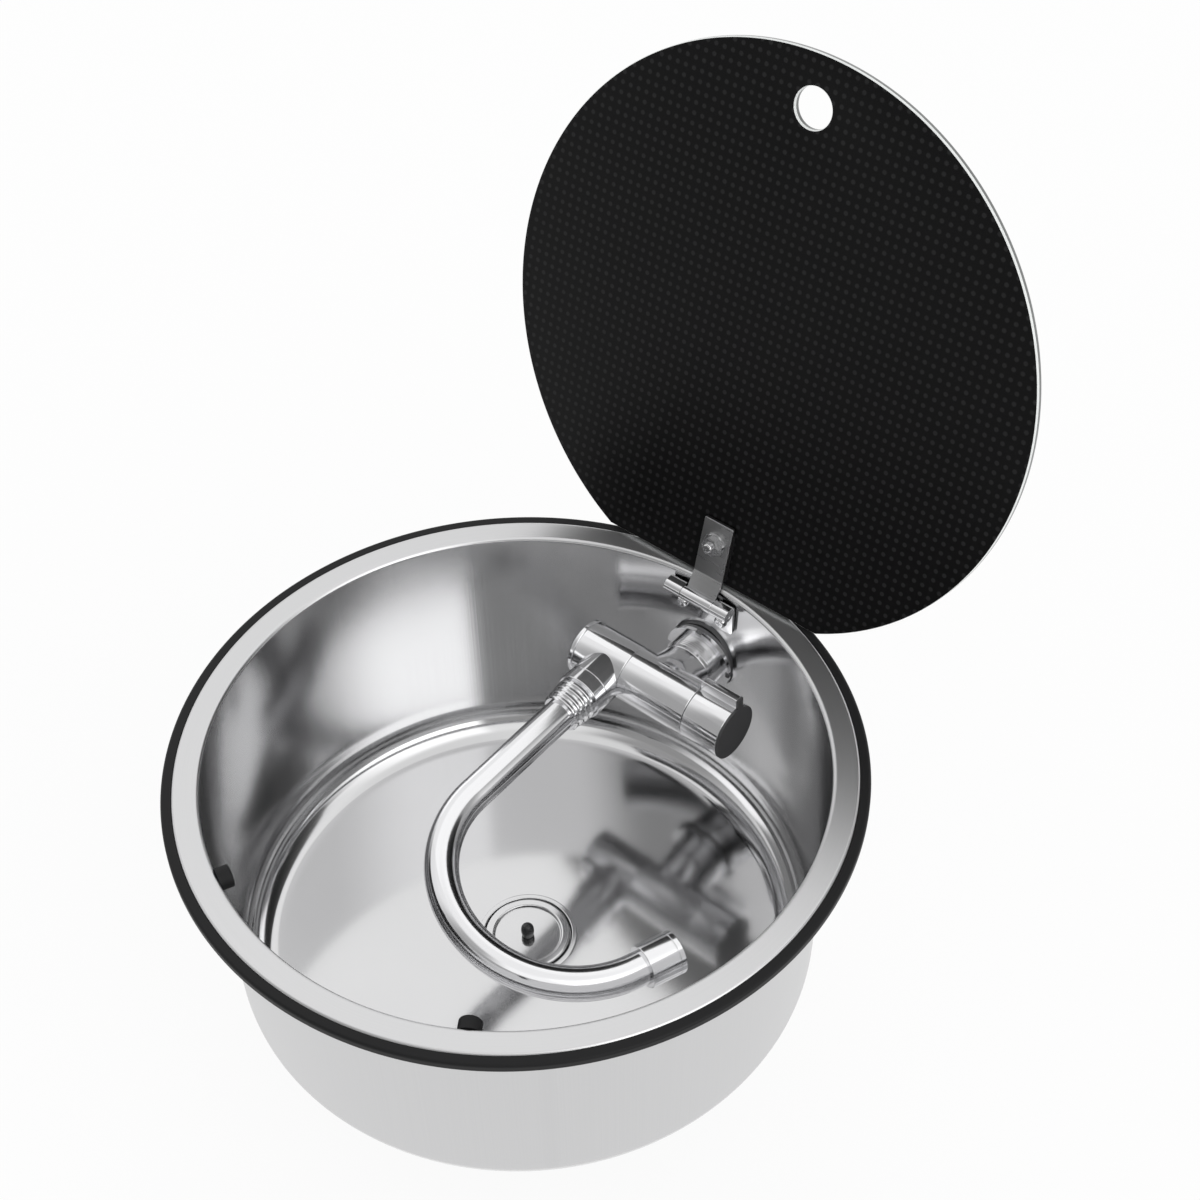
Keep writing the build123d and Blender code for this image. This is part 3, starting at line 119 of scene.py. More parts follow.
class LidSizes(bpy.types.PropertyGroup):
    """Sizes of the glass lid, its hinge and its fixing."""

    radius: length("Radius", "Radius of the glass", 0.175)
    glass: length("Glass", "Thickness of the glass", 0.005)
    chord: length("Chord", "Lid centre to the straight back edge", 0.157)
    # Share of the glass edge, from its underside up, painted pale as a highlight; the rest of the edge
    # is painted dark as shade.
    bevel: share("Bevel", "Share of the glass edge that catches the light", 0.42)
    edge_round: length("Edge round", "Rounding of the glass edge", 0.0008)
    hole: length("Finger hole", "Radius of the finger hole", 0.012)
    hole_reach: length("Hole reach", "Lid centre to the finger hole", 0.145)
    hinge_y: length("Hinge depth", "Pin axis behind the bowl's axis", 0.17)
    hinge_z: length("Hinge height", "Pin axis above the worktop", -0.001)
    lean: angle("Lean", "Lean of the open lid past upright", 16)
    glass_low: length("Glass height", "Underside of the glass above the pin", 0.0087)
    knuckle: length("Knuckle", "Radius of the hinge knuckles", 0.0043)
    middle_width: length("Middle knuckle", "Length of the strap's knuckle", 0.0224)
    pin: length("Pin", "Radius of the hinge pin", 0.002)
    strap_width: length("Strap width", "Width of the strap", 0.021)
    strap: length("Strap", "Thickness of the strap", 0.002)
    strap_length: length("Strap length", "Pin axis to the strap's end", 0.053)
    jog_start: length("Jog start", "Start of the strap's slope", 0.0042)
    jog_end: length("Jog end", "End of the strap's slope", 0.0148)
    strap_bend: length("Strap bend", "Bend radius of the strap", 0.0026)
    strap_corner: length("Strap corner", "Corner radius of the strap's end", 0.0012)
    strap_edge: length("Strap edge", "Rounding of the strap's and the knuckle's edges", 0.0003)
    pad: length("Pad", "Thickness of the pad under the glass", 0.001)
    dot_pitch_x: length("Dot pitch across", "Spacing of the printed dots across the lid", 0.00562)
    dot_pitch_y: length("Dot pitch along", "Spacing of the printed dots along the lid", 0.00608)
    dot: length("Dot", "Radius of a printed dot", 0.00135)


class TapSizes(bpy.types.PropertyGroup):
    """Sizes of the folding tap."""

    axis_y: length("Axis depth", "Tap axis behind the bowl's axis", 0.1329)
    axis_z: length("Axis height", "Tap axis above the worktop", -0.0497)
    barrel: length("Barrel", "Radius of the barrel, the sleeve and the knob", 0.018)
    sleeve_left: length("Sleeve left", "Left end of the turning sleeve", -0.056)
    sleeve_right: length("Sleeve right", "Right end of the turning sleeve", -0.0206)
    barrel_left: length("Barrel left", "Left end of the barrel", -0.0204)
    barrel_right: length("Barrel right", "Right end of the barrel", 0.0284)
    edge: length("Edge", "Rounding of the turned edges", 0.0005)
    cap: length("Cap", "Radius of the end cap", 0.0184)
    cap_width: length("Cap width", "Width of the end cap", 0.0032)
    cap_step: length("Cap step", "Width of the step round the cap's face", 0.0034)
    cap_rise: length("Cap rise", "Height of that step", 0.0006)
    spigot_z: length("Spigot height", "Spigot axis above the worktop", -0.055)
    spigot_y: length("Spigot front", "Front of the threaded spigot", 0.159)
    spigot_length: length("Spigot length", "Length of the threaded spigot", 0.039)
    spigot_bore: length("Spigot bore", "Radius of the spigot's bore", 0.0083)
    neck_reach: length("Neck reach", "How far the neck runs into the spigot", 0.003)
    neck_foot: length("Neck foot", "Half width of the neck where it leaves the barrel", 0.0197)
    neck: length("Neck", "Radius of the neck's middle", 0.0181)
    thread: length("Thread", "Radius of the spigot's thread", 0.0186)
    thread_pitch: length("Pitch", "Pitch of that thread", 0.0015)
    thread_depth: length("Thread depth", "Depth of that thread", 0.00045)
    spout_x: length("Spout place", "Spout axis to the left of the bowl's axis", -0.0355)
    spout: length("Spout", "Radius of the spout's tube", 0.0102)
    spout_run: length("Spout run", "Tap axis to the start of the spout's bend", 0.1339)
    bend: length("Bend", "Radius of the spout's bend", 0.0738)
    bend_turn: angle("Bend turn", "Turn of the spout's bend", 160)
    droop: angle("Droop", "Tilt of the bend about the spout's axis", 10.2)
    socket: length("Socket", "Radius of the spout's socket", 0.0156)
    socket_reach: length("Socket reach", "Tap axis to the socket's mouth", 0.036)
    socket_groove: length("Socket groove", "Tap axis to the groove round the socket", 0.026)
    groove: length("Groove", "Width of the fine grooves", 0.0007)
    groove_depth: length("Groove depth", "Depth of the fine grooves", 0.0004)
    nut: length("Nut", "Radius of the ribbed nut", 0.0145)
    nut_length: length("Nut length", "Length of the ribbed nut", 0.0176)
    nut_nose: length("Nut nose", "Length of the nut inside the socket", 0.0055)
    nut_bore: length("Nut nose radius", "Outer radius of that nose", 0.01105)
    nut_root: length("Nut root", "Depth of the nut's valleys", 0.0011)
    nut_taper: length("Nut taper", "Step down from one rib to the next", 0.0005)
    outlet: length("Outlet", "Radius of the outlet sleeve", 0.013)
    outlet_at: length("Outlet place", "Bend to the outlet sleeve", 0.0053)
    outlet_length: length("Outlet length", "Length of the outlet sleeve", 0.0223)
    outlet_grip: length("Outlet grip", "Length of the sleeve on the tube", 0.0101)
    outlet_wall: length("Outlet wall", "Wall of the outlet sleeve", 0.0013)
    outlet_groove: length("Outlet groove", "Outlet's mouth to its groove", 0.0032)
    knob_left: length("Knob left", "Left end of the knob", 0.0288)
    knob_right: length("Knob right", "Right end of the knob", 0.0552)
    fin: length("Lever", "Thickness of the knob's lever plate", 0.005)
    fin_back: length("Lever place", "Middle of the lever behind the tap axis", 0.0053)
    fin_reach: length("Lever reach", "Top of the lever above the tap axis", 0.0249)
    fin_slope: length("Lever slope", "Slope at the lever's left end", 0.0015)


class WasteSizes(bpy.types.PropertyGroup):
    """Sizes of the waste and its plug."""

    rim: length("Rim", "Radius of the waste's rim", 0.0305)
    rim_height: length("Rim height", "Rim above the sink floor", 0.0011)
    rim_gap: length("Rim gap", "Gap between the rim and the sink floor", 0.0001)
    cup: length("Cup", "Inner radius of the waste's cup", 0.0272)
    cup_wall: length("Cup wall", "Wall of the waste's cup", 0.0012)
    cup_depth: length("Cup depth", "Plug seat below the sink floor", 0.0026)
    cup_foot: length("Cup foot", "Underside of the cup below the sink floor", 0.004)
    throat: length("Throat", "Radius of the waste's throat", 0.01875)
    tube: length("Tube", "Radius of the waste's tube", 0.02095)
    tube_end: length("Tube end", "End of that tube below the sink floor", 0.041)
    edge: length("Edge", "Rounding of the waste's edges", 0.0006)
    bar_width: length("Bar width", "Width of a cross bar", 0.0024)
    bar_height: length("Bar height", "Height of a cross bar", 0.002)
    bar_drop: length("Bar drop", "Middle of the cross bars below the plug seat", 0.013)
    plug: length("Plug", "Radius of the plug", 0.0262)
    plug_lift: length("Plug lift", "Underside of the plug above its seat", 0.0016)
    plug_rim: length("Plug rim", "Width of the plug's raised rim", 0.0056)
    plug_height: length("Plug height", "Height of that rim", 0.0032)
    plug_plate: length("Plug plate", "Height of the plug's middle", 0.0016)
    plug_edge: length("Plug edge", "Rounding of the plug's lower edges", 0.0004)
    plug_round: length("Plug round", "Rounding of the plug's rim", 0.0012)
    hub_gap: length("Hub gap", "Gap between the plug's hub and the throat", 0.00075)
    hub_drop: length("Hub drop", "Depth of the plug's hub", 0.0025)
    boss: length("Boss", "Radius of the boss under the hub", 0.006)
    boss_drop: length("Boss drop", "Depth of that boss", 0.008)
    knob: length("Knob", "Radius of the plug's knob", 0.0041)
    knob_end: share("Knob end", "Share of that radius at the knob's ends", 0.85)
    knob_height: length("Knob height", "Height of the plug's knob", 0.0096)
    knob_sink: length("Knob sink", "How far the knob sits in the plate", 0.0004)


class SinkColours(bpy.types.PropertyGroup):
    """Colours of the finishes."""

    steel: tint("Steel", "Brushed bowl steel", (0.64, 0.64, 0.645))
    chrome: tint("Chrome", "Tap plating", (0.80, 0.80, 0.81))
    rubber: tint("Rubber", "Rim seal and bumpers", (0.010, 0.010, 0.0105))
    glass: tint("Glass", "Black lid glass", (0.0030, 0.0030, 0.0032))
    dots: tint("Dots", "Printed dots of the lid", (0.018, 0.018, 0.0185))
    # The lid's ground edge is drawn in two tones of one finish: a pale painted highlight and a dark
    # painted shade.
    glass_edge_highlight: tint("Glass edge", "Light part of the lid's ground edge", (0.80, 0.82, 0.81))
    glass_edge_shade: tint("Glass side", "Dark part of the lid's ground edge", (0.13, 0.135, 0.133))
    end_plate: tint("End plate", "Dark end of the tap's knob", (0.065, 0.065, 0.067))
    brass: tint("Brass", "Hidden fittings", (0.55, 0.40, 0.17))
    nylon: tint("Nylon", "White nylon parts", (0.72, 0.71, 0.68))
    fibre: tint("Fibre", "Grey gasket under the tap's ring nut", (0.20, 0.20, 0.205))
    plastic: tint("Plastic", "Black waste fittings", (0.025, 0.025, 0.026))


def sizes(group):
    """One of the scene's property groups."""
    return getattr(bpy.context.scene, group)


# ---------------------------------------------------------------------------------- surfaces
def rounded(corners, radii, steps=8):
    """An open line through corners, with each inner corner replaced by an arc.

    An arc of radius r touches both legs r / tan(half the inner angle) from the corner, and its
    points turn about the centre at equal angles. A point a tenth of r before and after each arc
    keeps the shading of the flats clean.
    """
    corners = np.asarray(corners, float)
    line = [corners[:1]]
    for before, corner, after, r in zip(corners, corners[1:], corners[2:], radii):
        if r == 0:
            line.append(corner[None])
            continue
        a = (before - corner) / np.linalg.norm(before - corner)
        b = (after - corner) / np.linalg.norm(after - corner)
        half = math.acos(np.clip(a @ b, -1, 1)) / 2
        leg = r / math.tan(half)
        middle = corner + (a + b) / np.linalg.norm(a + b) * r / math.sin(half)
        sweep = math.pi - 2 * half
        t = np.linspace(0, 1, steps + 1)[:, None]
        start, end = corner + a * leg - middle, corner + b * leg - middle
        arc = (np.sin((1 - t) * sweep) * start + np.sin(t * sweep) * end) / math.sin(sweep)
        near = 0.1 * r
        line += [(corner + a * (leg + near))[None], middle + arc, (corner + b * (leg + near))[None]]
    line.append(corners[-1:])
    return np.concatenate(line)


def mitres(line, closed=False):
    """At each point of a flat line, the move to its right that shifts both its legs by one.

    It is the sum of the two legs' unit normals over one plus their dot product.
    """
    step = np.diff(line, axis=0, append=line[:1]) if closed else np.diff(line, axis=0)
    normal = np.stack([step[:, 1], -step[:, 0]], 1) / np.linalg.norm(step, axis=1)[:, None]
    before = np.roll(normal, 1, axis=0) if closed else np.concatenate([normal[:1], normal])
    after = normal if closed else np.concatenate([normal, normal[-1:]])
    return (before + after) / (1 + np.sum(before * after, axis=1, keepdims=True))


def thickened(line, thickness):
    """A closed outline of a sheet: the line, then the same line moved by thickness to its right."""
    return np.concatenate([line, (line + mitres(line) * thickness)[::-1]])


def edge_rows(rounding, steps=5):
    """Insets and drops along a quarter-round edge, from the side face up to the top face."""
    t = np.linspace(0, math.pi / 2, steps + 1)
    return rounding * (1 - np.cos(t)), rounding * (1 - np.sin(t))


def axes_of(direction, across=None):
    """Three unit vectors, the last one along direction and the first one near across."""
    w = np.asarray(direction, float)
    w = w / np.linalg.norm(w)
    if across is None:
        across = (0, 0, 1) if abs(w[2]) < 0.9 else (1, 0, 0)
    u = np.asarray(across, float)
    u = u - w * (u @ w)
    u /= np.linalg.norm(u)
    return u, np.cross(w, u), w


def spun(profile, centre, direction, count=96, across=None):
    """A turned surface: point = centre + w * height + r * (u * cos(angle) + v * sin(angle)).

    The profile holds a radius r and a height per row.
    """
    u, v, w = axes_of(direction, across)
    angle = np.linspace(0, TURN, count, endpoint=False)
    ring = np.cos(angle)[:, None] * u + np.sin(angle)[:, None] * v
    profile = np.asarray(profile, float)
    return np.asarray(centre) + profile[:, 1, None, None] * w + profile[:, 0, None, None] * ring


def shell(grid, closed_rows=False, closed_columns=True):
    """Vertices and faces of a grid of points. End rows of an open grid that shrink to a point
    become one vertex, and a grid that turns inside out is turned round."""
    rows, columns = grid.shape[:2]
    ids = np.arange(rows * columns).reshape(rows, columns)
    if not closed_rows:
        for row in (0, -1):
            if np.ptp(grid[row], axis=0).max() < 1e-9:
                ids[row] = ids[row, 0]
    ids = np.concatenate([ids, ids[:, :1]], 1) if closed_columns else ids
    ids = np.concatenate([ids, ids[:1]], 0) if closed_rows else ids
    quads = np.stack([ids[:-1, :-1], ids[:-1, 1:], ids[1:, 1:], ids[1:, :-1]], -1).reshape(-1, 4)
    points = grid.reshape(-1, 3)
    p = points[quads] - points.mean(0)
    volume = np.einsum("ij,ij->", p[:, 0], np.cross(p[:, 1], p[:, 2]) + np.cross(p[:, 2], p[:, 3]))
    quads = quads[:, ::-1] if volume < 0 else quads
    used, faces = np.unique(quads, return_inverse=True)
    return points[used], faces.reshape(-1, 4)


def piece(name, shells, body, nodes, finishes, parts=None, sharp=40):
    """A mesh object made of closed shells. It rides on a body and stands for its nodes.

    parts gives the index of the finish for each shell, or works it out from the faces' centres.
    Edges that turn by more than sharp degrees stay crisp.
    """
    vertices, faces, marks, start = [], [], [], 0
    for index, (points, quads) in enumerate(shells):
        vertices.append(points)
        double = quads == np.roll(quads, -1, axis=1)
        pinched = double.any(axis=1)
        triangles = quads[pinched][~double[pinched]].reshape(-1, 3)
        faces += (quads[~pinched] + start).tolist() + (triangles + start).tolist()
        marks += [parts[index] if isinstance(parts, list) else 0] * len(quads)
        start += len(points)
    mesh = bpy.data.meshes.new(name)
    mesh.from_pydata(np.concatenate(vertices).tolist(), [], faces)
    mesh.polygons.foreach_set("use_smooth", np.ones(len(faces), dtype=bool))
    for finish in finishes:
        mesh.materials.append(finish)
    if callable(parts):
        centres = np.empty(len(faces) * 3)
        mesh.polygons.foreach_get("center", centres)
        marks = parts(centres.reshape(-1, 3))
    mesh.polygons.foreach_set("material_index", np.asarray(marks, dtype=np.int32))
    mesh.update()
    mesh.set_sharp_from_angle(angle=math.radians(sharp))
    obj = bpy.data.objects.new(name, mesh)
    bpy.context.scene.collection.objects.link(obj)
    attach(obj, body)
    if nodes:
        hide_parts(*nodes)
    return obj


def turned(profile, centre, direction, count=96, across=None, closed=True):
    """Shell of a turned piece. A closed profile is a ring's section, an open one ends on the axis."""
    return shell(spun(profile, centre, direction, count, across), closed_rows=closed)


def disc_profile(radius, low, high, rounding, steps=5):
    """Profile of a solid disc with rounded rims, from the axis and back to the axis."""
    inset, drop = edge_rows(rounding, steps)
    side = np.stack([radius - inset, high - drop], 1)
    return np.concatenate(
        [[(0, low)], np.stack([side[::-1, 0], low + drop[::-1]], 1), side, [(0, high)]]
    )


def ring_profile(outer, inner, low, high, rounding, steps=4):
    """Closed profile of a ring with rounded outer rims."""
    inset, drop = edge_rows(rounding, steps)
    return np.concatenate([
        [(inner, low)],
        np.stack([outer - inset[::-1], low + drop[::-1]], 1),
        np.stack([outer - inset, high - drop], 1),
        [(inner, high)],
    ])


def swept(centres, sides, ups, half_widths, half_heights, rounding, steps=4):
    """A bar with a rounded rectangular section that follows a line of centres.

    A section's point is its centre plus side * (w - r + r * cos) plus up * (h - r + r * sin), with
    the signs of the quarter that the angle lies in. Both ends close on their middles.
    """
    quarter = np.linspace(0, math.pi / 2, steps + 1)
    angle = np.concatenate([quarter + turn * math.pi / 2 for turn in range(4)])
    wide = np.repeat([1, -1, -1, 1], steps + 1)
    high = np.repeat([1, 1, -1, -1], steps + 1)
    rows = np.concatenate([np.arange(1), np.arange(len(centres)), [len(centres) - 1]])
    w = np.broadcast_to(half_widths, len(centres))[:, None]
    h = np.broadcast_to(half_heights, len(centres))[:, None]
    r = np.minimum(rounding, np.minimum(w, h))
    x = wide * (w - r) + r * np.cos(angle)
    y = high * (h - r) + r * np.sin(angle)
    sides = np.broadcast_to(sides, (len(centres), 3))
    ups = np.broadcast_to(ups, (len(centres), 3))
    grid = centres[:, None] + x[..., None] * sides[:, None] + y[..., None] * ups[:, None]
    grid = grid[rows]
    grid[0], grid[-1] = centres[0], centres[-1]
    return shell(grid)


def bar(start, end, side, half_width, half_height, rounding, edge):
    """A straight bar whose ends have a small round edge too."""
    start, end = np.asarray(start, float), np.asarray(end, float)
    along = (end - start) / np.linalg.norm(end - start)
    inset, drop = edge_rows(edge)
    shrink = np.concatenate([inset[::-1], inset])
    places = np.concatenate([
        start + drop[::-1, None] * along, end - drop[:, None] * along,
    ])
    up = np.cross(along, side)
    return swept(places, side, up, half_width - shrink, half_height - shrink, rounding)


def plate(outline, frame_of, low, high, rounding, middle=None, steps=4):
    """A flat plate with a round-edged convex outline, given anticlockwise on the plane frame_of.

    frame_of holds the origin and the two directions of the plane, and the height runs along
    their cross product.
    """
    origin, x, y = (np.asarray(v, float) for v in frame_of)
    z = np.cross(x, y)
    out = mitres(outline, closed=True)
    inset, drop = edge_rows(rounding, steps)
    insets = np.concatenate([inset[::-1], inset])
    heights = np.concatenate([low + drop[::-1], high - drop])
    middle = outline.mean(axis=0) if middle is None else np.asarray(middle, float)
    flat = outline[None] - insets[:, None, None] * out[None]
    flat = np.concatenate([np.broadcast_to(middle, flat[:1].shape), flat,
                           np.broadcast_to(middle, flat[:1].shape)])
    heights = np.concatenate([heights[:1], heights, heights[-1:]])
    grid = origin + flat[..., :1] * x + flat[..., 1:] * y + heights[:, None, None] * z
    return shell(grid)


# ---------------------------------------------------------------------------------- shading
class Value:
    """A number in a material's node tree that takes part in plain arithmetic."""

    def __init__(self, tree, socket):
        self.tree, self.socket = tree, socket

    def _math(self, operation, *others):
        node = self.tree.nodes.new("ShaderNodeMath")
        node.operation = operation
        for place, value in zip(node.inputs, (self, *others)):
            if isinstance(value, Value):
                self.tree.links.new(value.socket, place)
            else:
                place.default_value = value
        return Value(self.tree, node.outputs[0])

    def _turned(self, operation, other):
        node = self.tree.nodes.new("ShaderNodeMath")
        node.operation = operation
        node.inputs[0].default_value = other
        self.tree.links.new(self.socket, node.inputs[1])
        return Value(self.tree, node.outputs[0])

    def __add__(self, other):
        return self._math("ADD", other)

    __radd__ = __add__

    def __sub__(self, other):
        return self._math("SUBTRACT", other)

    def __rsub__(self, other):
        return self._turned("SUBTRACT", other)

    def __mul__(self, other):
        return self._math("MULTIPLY", other)

    __rmul__ = __mul__

    def __truediv__(self, other):
        return self._math("DIVIDE", other)

    def __pow__(self, other):
        return self._math("POWER", other)

    def highest(self, other):
        return self._math("MAXIMUM", other)

    def near(self, step):
        """Distance to the nearest multiple of a step."""
        return self._math("PINGPONG", step / 2)

    def bearing(self, x):
        """Angle from the X axis of the direction whose y is this value."""
        return self._math("ARCTAN2", x)

    def ramp(self, low, high, at_low=0.0, at_high=1.0):
        """A smooth change from at_low to at_high between two values of this one."""
        node = self.tree.nodes.new("ShaderNodeMapRange")
        node.interpolation_type = "SMOOTHSTEP"
        self.tree.links.new(self.socket, node.inputs["Value"])
        limits = {"From Min": low, "From Max": high, "To Min": at_low, "To Max": at_high}
        for name, value in limits.items():
            node.inputs[name].default_value = value
        return Value(self.tree, node.outputs["Result"])


class Finish:
    """A material with one surface shader, and the few nodes that its details need."""

    def __init__(self, name, **constants):
        self.material = bpy.data.materials.new(name)
        self.material.use_nodes = True
        self.tree = self.material.node_tree
        self.shader = self.tree.nodes["Principled BSDF"]
        for socket, value in constants.items():
            self.shader.inputs[socket.replace("_", " ")].default_value = value
        place = self.tree.nodes.new("ShaderNodeTexCoord").outputs["Object"]
        parts = self.node("ShaderNodeSeparateXYZ", Vector=place).outputs
        self.place = place
        self.x, self.y, self.z = (Value(self.tree, out) for out in parts)

    def node(self, kind, **inputs):
        """A new node with its inputs linked or set by name."""
        node = self.tree.nodes.new(kind)
        for name, value in inputs.items():
            socket = node.inputs[name.replace("_", " ")]
            value = value.socket if isinstance(value, Value) else value
            if isinstance(value, bpy.types.NodeSocket):
                self.tree.links.new(value, socket)
            else:
                socket.default_value = value
        return node

    def vector(self, x, y, z):
        """A vector from three numbers or values."""
        return self.node("ShaderNodeCombineXYZ", X=x, Y=y, Z=z).outputs[0]

    def radius(self):
        """Distance from the bowl's axis."""
        return (self.x * self.x + self.y * self.y) ** 0.5

    def noise(self, scale, detail=2.0, where=None, roughness=0.5):
        """Noise of a scale per metre, from 0 to 1."""
        node = self.node("ShaderNodeTexNoise", Vector=where or self.place, Scale=scale,
                         Detail=detail, Roughness=roughness)
        return Value(self.tree, node.outputs[0])

    def colour(self, low, high, share):
        """Base colour that runs from low to high with a share."""
        node = self.tree.nodes.new("ShaderNodeMix")
        node.data_type = "RGBA"
        start, end = (socket for socket in node.inputs if socket.type == "RGBA")
        result = next(socket for socket in node.outputs if socket.type == "RGBA")
        start.default_value = (*low, 1)
        end.default_value = (*high, 1)
        self.tree.links.new(share.socket, node.inputs["Factor"])
        self.tree.links.new(result, self.shader.inputs["Base Color"])

    def rough(self, value):
        """Roughness that varies."""
        self.tree.links.new(value.socket, self.shader.inputs["Roughness"])

    def bump(self, height, depth):
        """Fine relief, with its depth in metres."""
        node = self.node("ShaderNodeBump", Height=height, Distance=depth)
        self.tree.links.new(node.outputs[0], self.shader.inputs["Normal"])


def shades(colour, change):
    """A colour a little darker and the same colour a little lighter."""
    return [c * (1 - change) for c in colour], [min(c * (1 + change), 1) for c in colour]


def polished_wall(colours):
    """Inner wall: mirror-like steel with fine upright draw lines and faint wipe marks."""
    f = Finish("steel_wall", Metallic=1.0)
    r = f.radius()
    lines = f.noise(1.0, 3, f.vector(f.x / r * 160, f.y / r * 160, f.z * 3))
    marks = f.noise(9, 4)
    f.colour(*shades(colours.steel, 0.03), lines)
    f.rough(0.10 + 0.05 * marks + 0.05 * lines)
    f.bump(lines, 0.00002)
    return f.material


def satin_floor(colours):
    """Floor and lower bend: steel with a soft sheen and rings from the press."""
    f = Finish("steel_floor", Metallic=1.0)
    rings = f.noise(1.0, 3, f.vector(f.radius() * 1500, 0.0, 0.0))
    marks = f.noise(14, 4)
    f.colour(*shades(colours.steel, 0.03), marks)
    f.rough(0.07 + 0.03 * marks + 0.03 * rings)
    f.bump(rings, 0.000006)
    return f.material


def satin_rim(colours):
    """Rim: steel brushed round the axis."""
    f = Finish("steel_rim", Metallic=1.0)
    rings = f.noise(1.0, 3, f.vector(f.radius() * 2600, f.x * 12, f.y * 12))
    f.colour(*shades(colours.steel, 0.04), rings)
    f.rough(0.26 + 0.08 * rings)
    f.bump(rings, 0.00001)
    return f.material


def satin_outside(colours):
    """Outer wall: steel brushed upwards, duller than the inside."""
    f = Finish("steel_outside", Metallic=1.0)
    r = f.radius()
    lines = f.noise(1.0, 4, f.vector(f.x / r * 220, f.y / r * 220, f.z * 4))
    f.colour(*shades(colours.steel, 0.04), lines)
    f.rough(0.28 + 0.10 * lines)
    f.bump(lines, 0.00002)
    return f.material


def plated(name, colour, roughness, spread=0.03):
    """Plated or polished metal with faint wipe marks."""
    f = Finish(name, Metallic=1.0)
    marks = f.noise(60, 4)
    f.colour(*shades(colour, 0.02), marks)
    f.rough(roughness + spread * marks)
    return f.material


def brushed(name, colour, roughness, scale=(900, 60, 60)):
    """Rolled metal with short grain lines along one direction."""
    f = Finish(name, Metallic=1.0)
    grain = f.noise(1.0, 3, f.vector(*(v * s for v, s in zip((f.x, f.y, f.z), scale))))
    f.colour(*shades(colour, 0.06), grain)
    f.rough(roughness + 0.10 * grain)
    f.bump(grain, 0.000008)
    return f.material


def moulded(name, colour, roughness, grain=0.00001, **constants):
    """Rubber or plastic with a fine moulded grain."""
    f = Finish(name, **constants)
    marks = f.noise(35, 3)
    f.colour(*shades(colour, 0.12), marks)
    f.rough(roughness + 0.10 * marks)
    f.bump(f.noise(1400, 2), grain)
    return f.material


def printed_glass(lid, colours):
    """Faces of the lid: black enamel behind glass with a grid of faint dots.

    A dot is where the distance to the nearest grid point, across and along the lid, is small.
    """
    f = Finish("lid_print", Specular_IOR_Level=0.1)
    upward = (f.y - lid.hinge_y) * math.sin(lid.lean) + (f.z - lid.hinge_z) * math.cos(lid.lean)
    across, along = f.x.near(lid.dot_pitch_x), (upward - lid.hinge_y).near(lid.dot_pitch_y)
    edge = 0.35 * lid.dot
    dot = ((across * across + along * along) ** 0.5).ramp(lid.dot - edge, lid.dot + edge, 1.0, 0.0)
    f.colour(colours.glass, colours.dots, dot * (0.8 + 0.4 * f.noise(30)))
    f.rough(0.34 + 0.10 * f.noise(25, 3) + 0.08 * dot)
    f.bump(dot, 0.00001)
    return f.material


def ground_edge(name, colour):
    """Edge of the lid: ground glass with fine lines along it. It is made twice, pale for the edge's
    painted highlight and dark for its painted shade.
    """
    f = Finish(name, IOR=1.5, Coat_Weight=0.3)
    lines = f.noise(1.0, 3, f.vector(f.x * 40, f.y * 900, f.z * 40))
    f.colour(*shades(colour, 0.10), lines)
    f.rough(0.22 + 0.12 * lines)
    return f.material


# ---------------------------------------------------------------------------------- bowl
def wall_radius(bowl, z):
    """Radius of the bowl's inner wall at a height."""
    return bowl.wall_top - (bowl.rim_top - z) * math.tan(bowl.draft)


def floor_height(bowl):
    """Height of the sink floor beside the waste."""
    return bowl.rim_top - bowl.depth - bowl.floor_fall


def make_bowl(bowl, colours):
    """The pressed bowl: the section of its sheet turned round the upright axis."""
    edge_z = bowl.rim_top - bowl.depth
    floor_z = floor_height(bowl)
    low_z = floor_z - bowl.recess_drop
    corners = [
        (bowl.drain, low_z), (bowl.recess, low_z), (bowl.recess, floor_z),
        (wall_radius(bowl, edge_z), edge_z), (bowl.wall_top, bowl.rim_top),
        (bowl.rim_edge, bowl.rim_top), (bowl.rim_edge, bowl.rim_top - bowl.lip_drop),
    ]
    bends = [bowl.recess_bend, bowl.recess_bend, bowl.corner, bowl.rim_bend, bowl.lip_bend]
    section = thickened(rounded(corners, bends, 14), bowl.sheet)

    def finish_of(centres):
        r, z = np.hypot(centres[:, 0], centres[:, 1]), centres[:, 2]
        rim = z > bowl.rim_top - bowl.rim_bend / 2
        outside = (r > wall_radius(bowl, z) + bowl.sheet / 2) & ~rim
        below = z < edge_z + bowl.corner * 0.4
        return np.select([rim, outside, below], [2, 3, 1], 0)

    finishes = [finish(colours) for finish in (polished_wall, satin_floor, satin_rim, satin_outside)]
    shells = [turned(section, (0, 0, 0), (0, 0, 1), 288)]
    piece("sink_bowl", shells, "sink", ["bowl"], finishes, finish_of)


def make_seal(bowl, colours):
    """The rubber ring under the rim's edge: its section turned round the upright axis."""
    inner = bowl.rim_edge - bowl.seal_foot
    lip = bowl.rim_top - bowl.lip_drop
    corners = [
        (bowl.rim_edge, lip), (inner, lip), (inner, 0), (bowl.seal_edge, 0),
        (bowl.seal_edge, bowl.seal_top), (bowl.rim_edge, bowl.seal_top), (bowl.rim_edge, lip),
    ]
    bends = [0, 0, bowl.seal_round, bowl.seal_round, bowl.seal_edge_round]
    section = rounded(corners, bends, 8)[:-1]
    rubber = moulded("seal_rubber", colours.rubber, 0.42, Specular_IOR_Level=0.2)
    piece("rim_gasket", [turned(section, (0, 0, 0), (0, 0, 1), 288)], "sink", ["rim_seal"], [rubber])


# ---------------------------------------------------------------------------------- lid
def lid_frame(lid):
    """The pin's middle, the direction to the left, and the direction up along the open lid."""
    origin = np.array([0, lid.hinge_y, lid.hinge_z])
    along = np.array([0, math.sin(lid.lean), math.cos(lid.lean)])
    left = np.array([-1.0, 0, 0])
    return origin, left, along, np.cross(left, along)


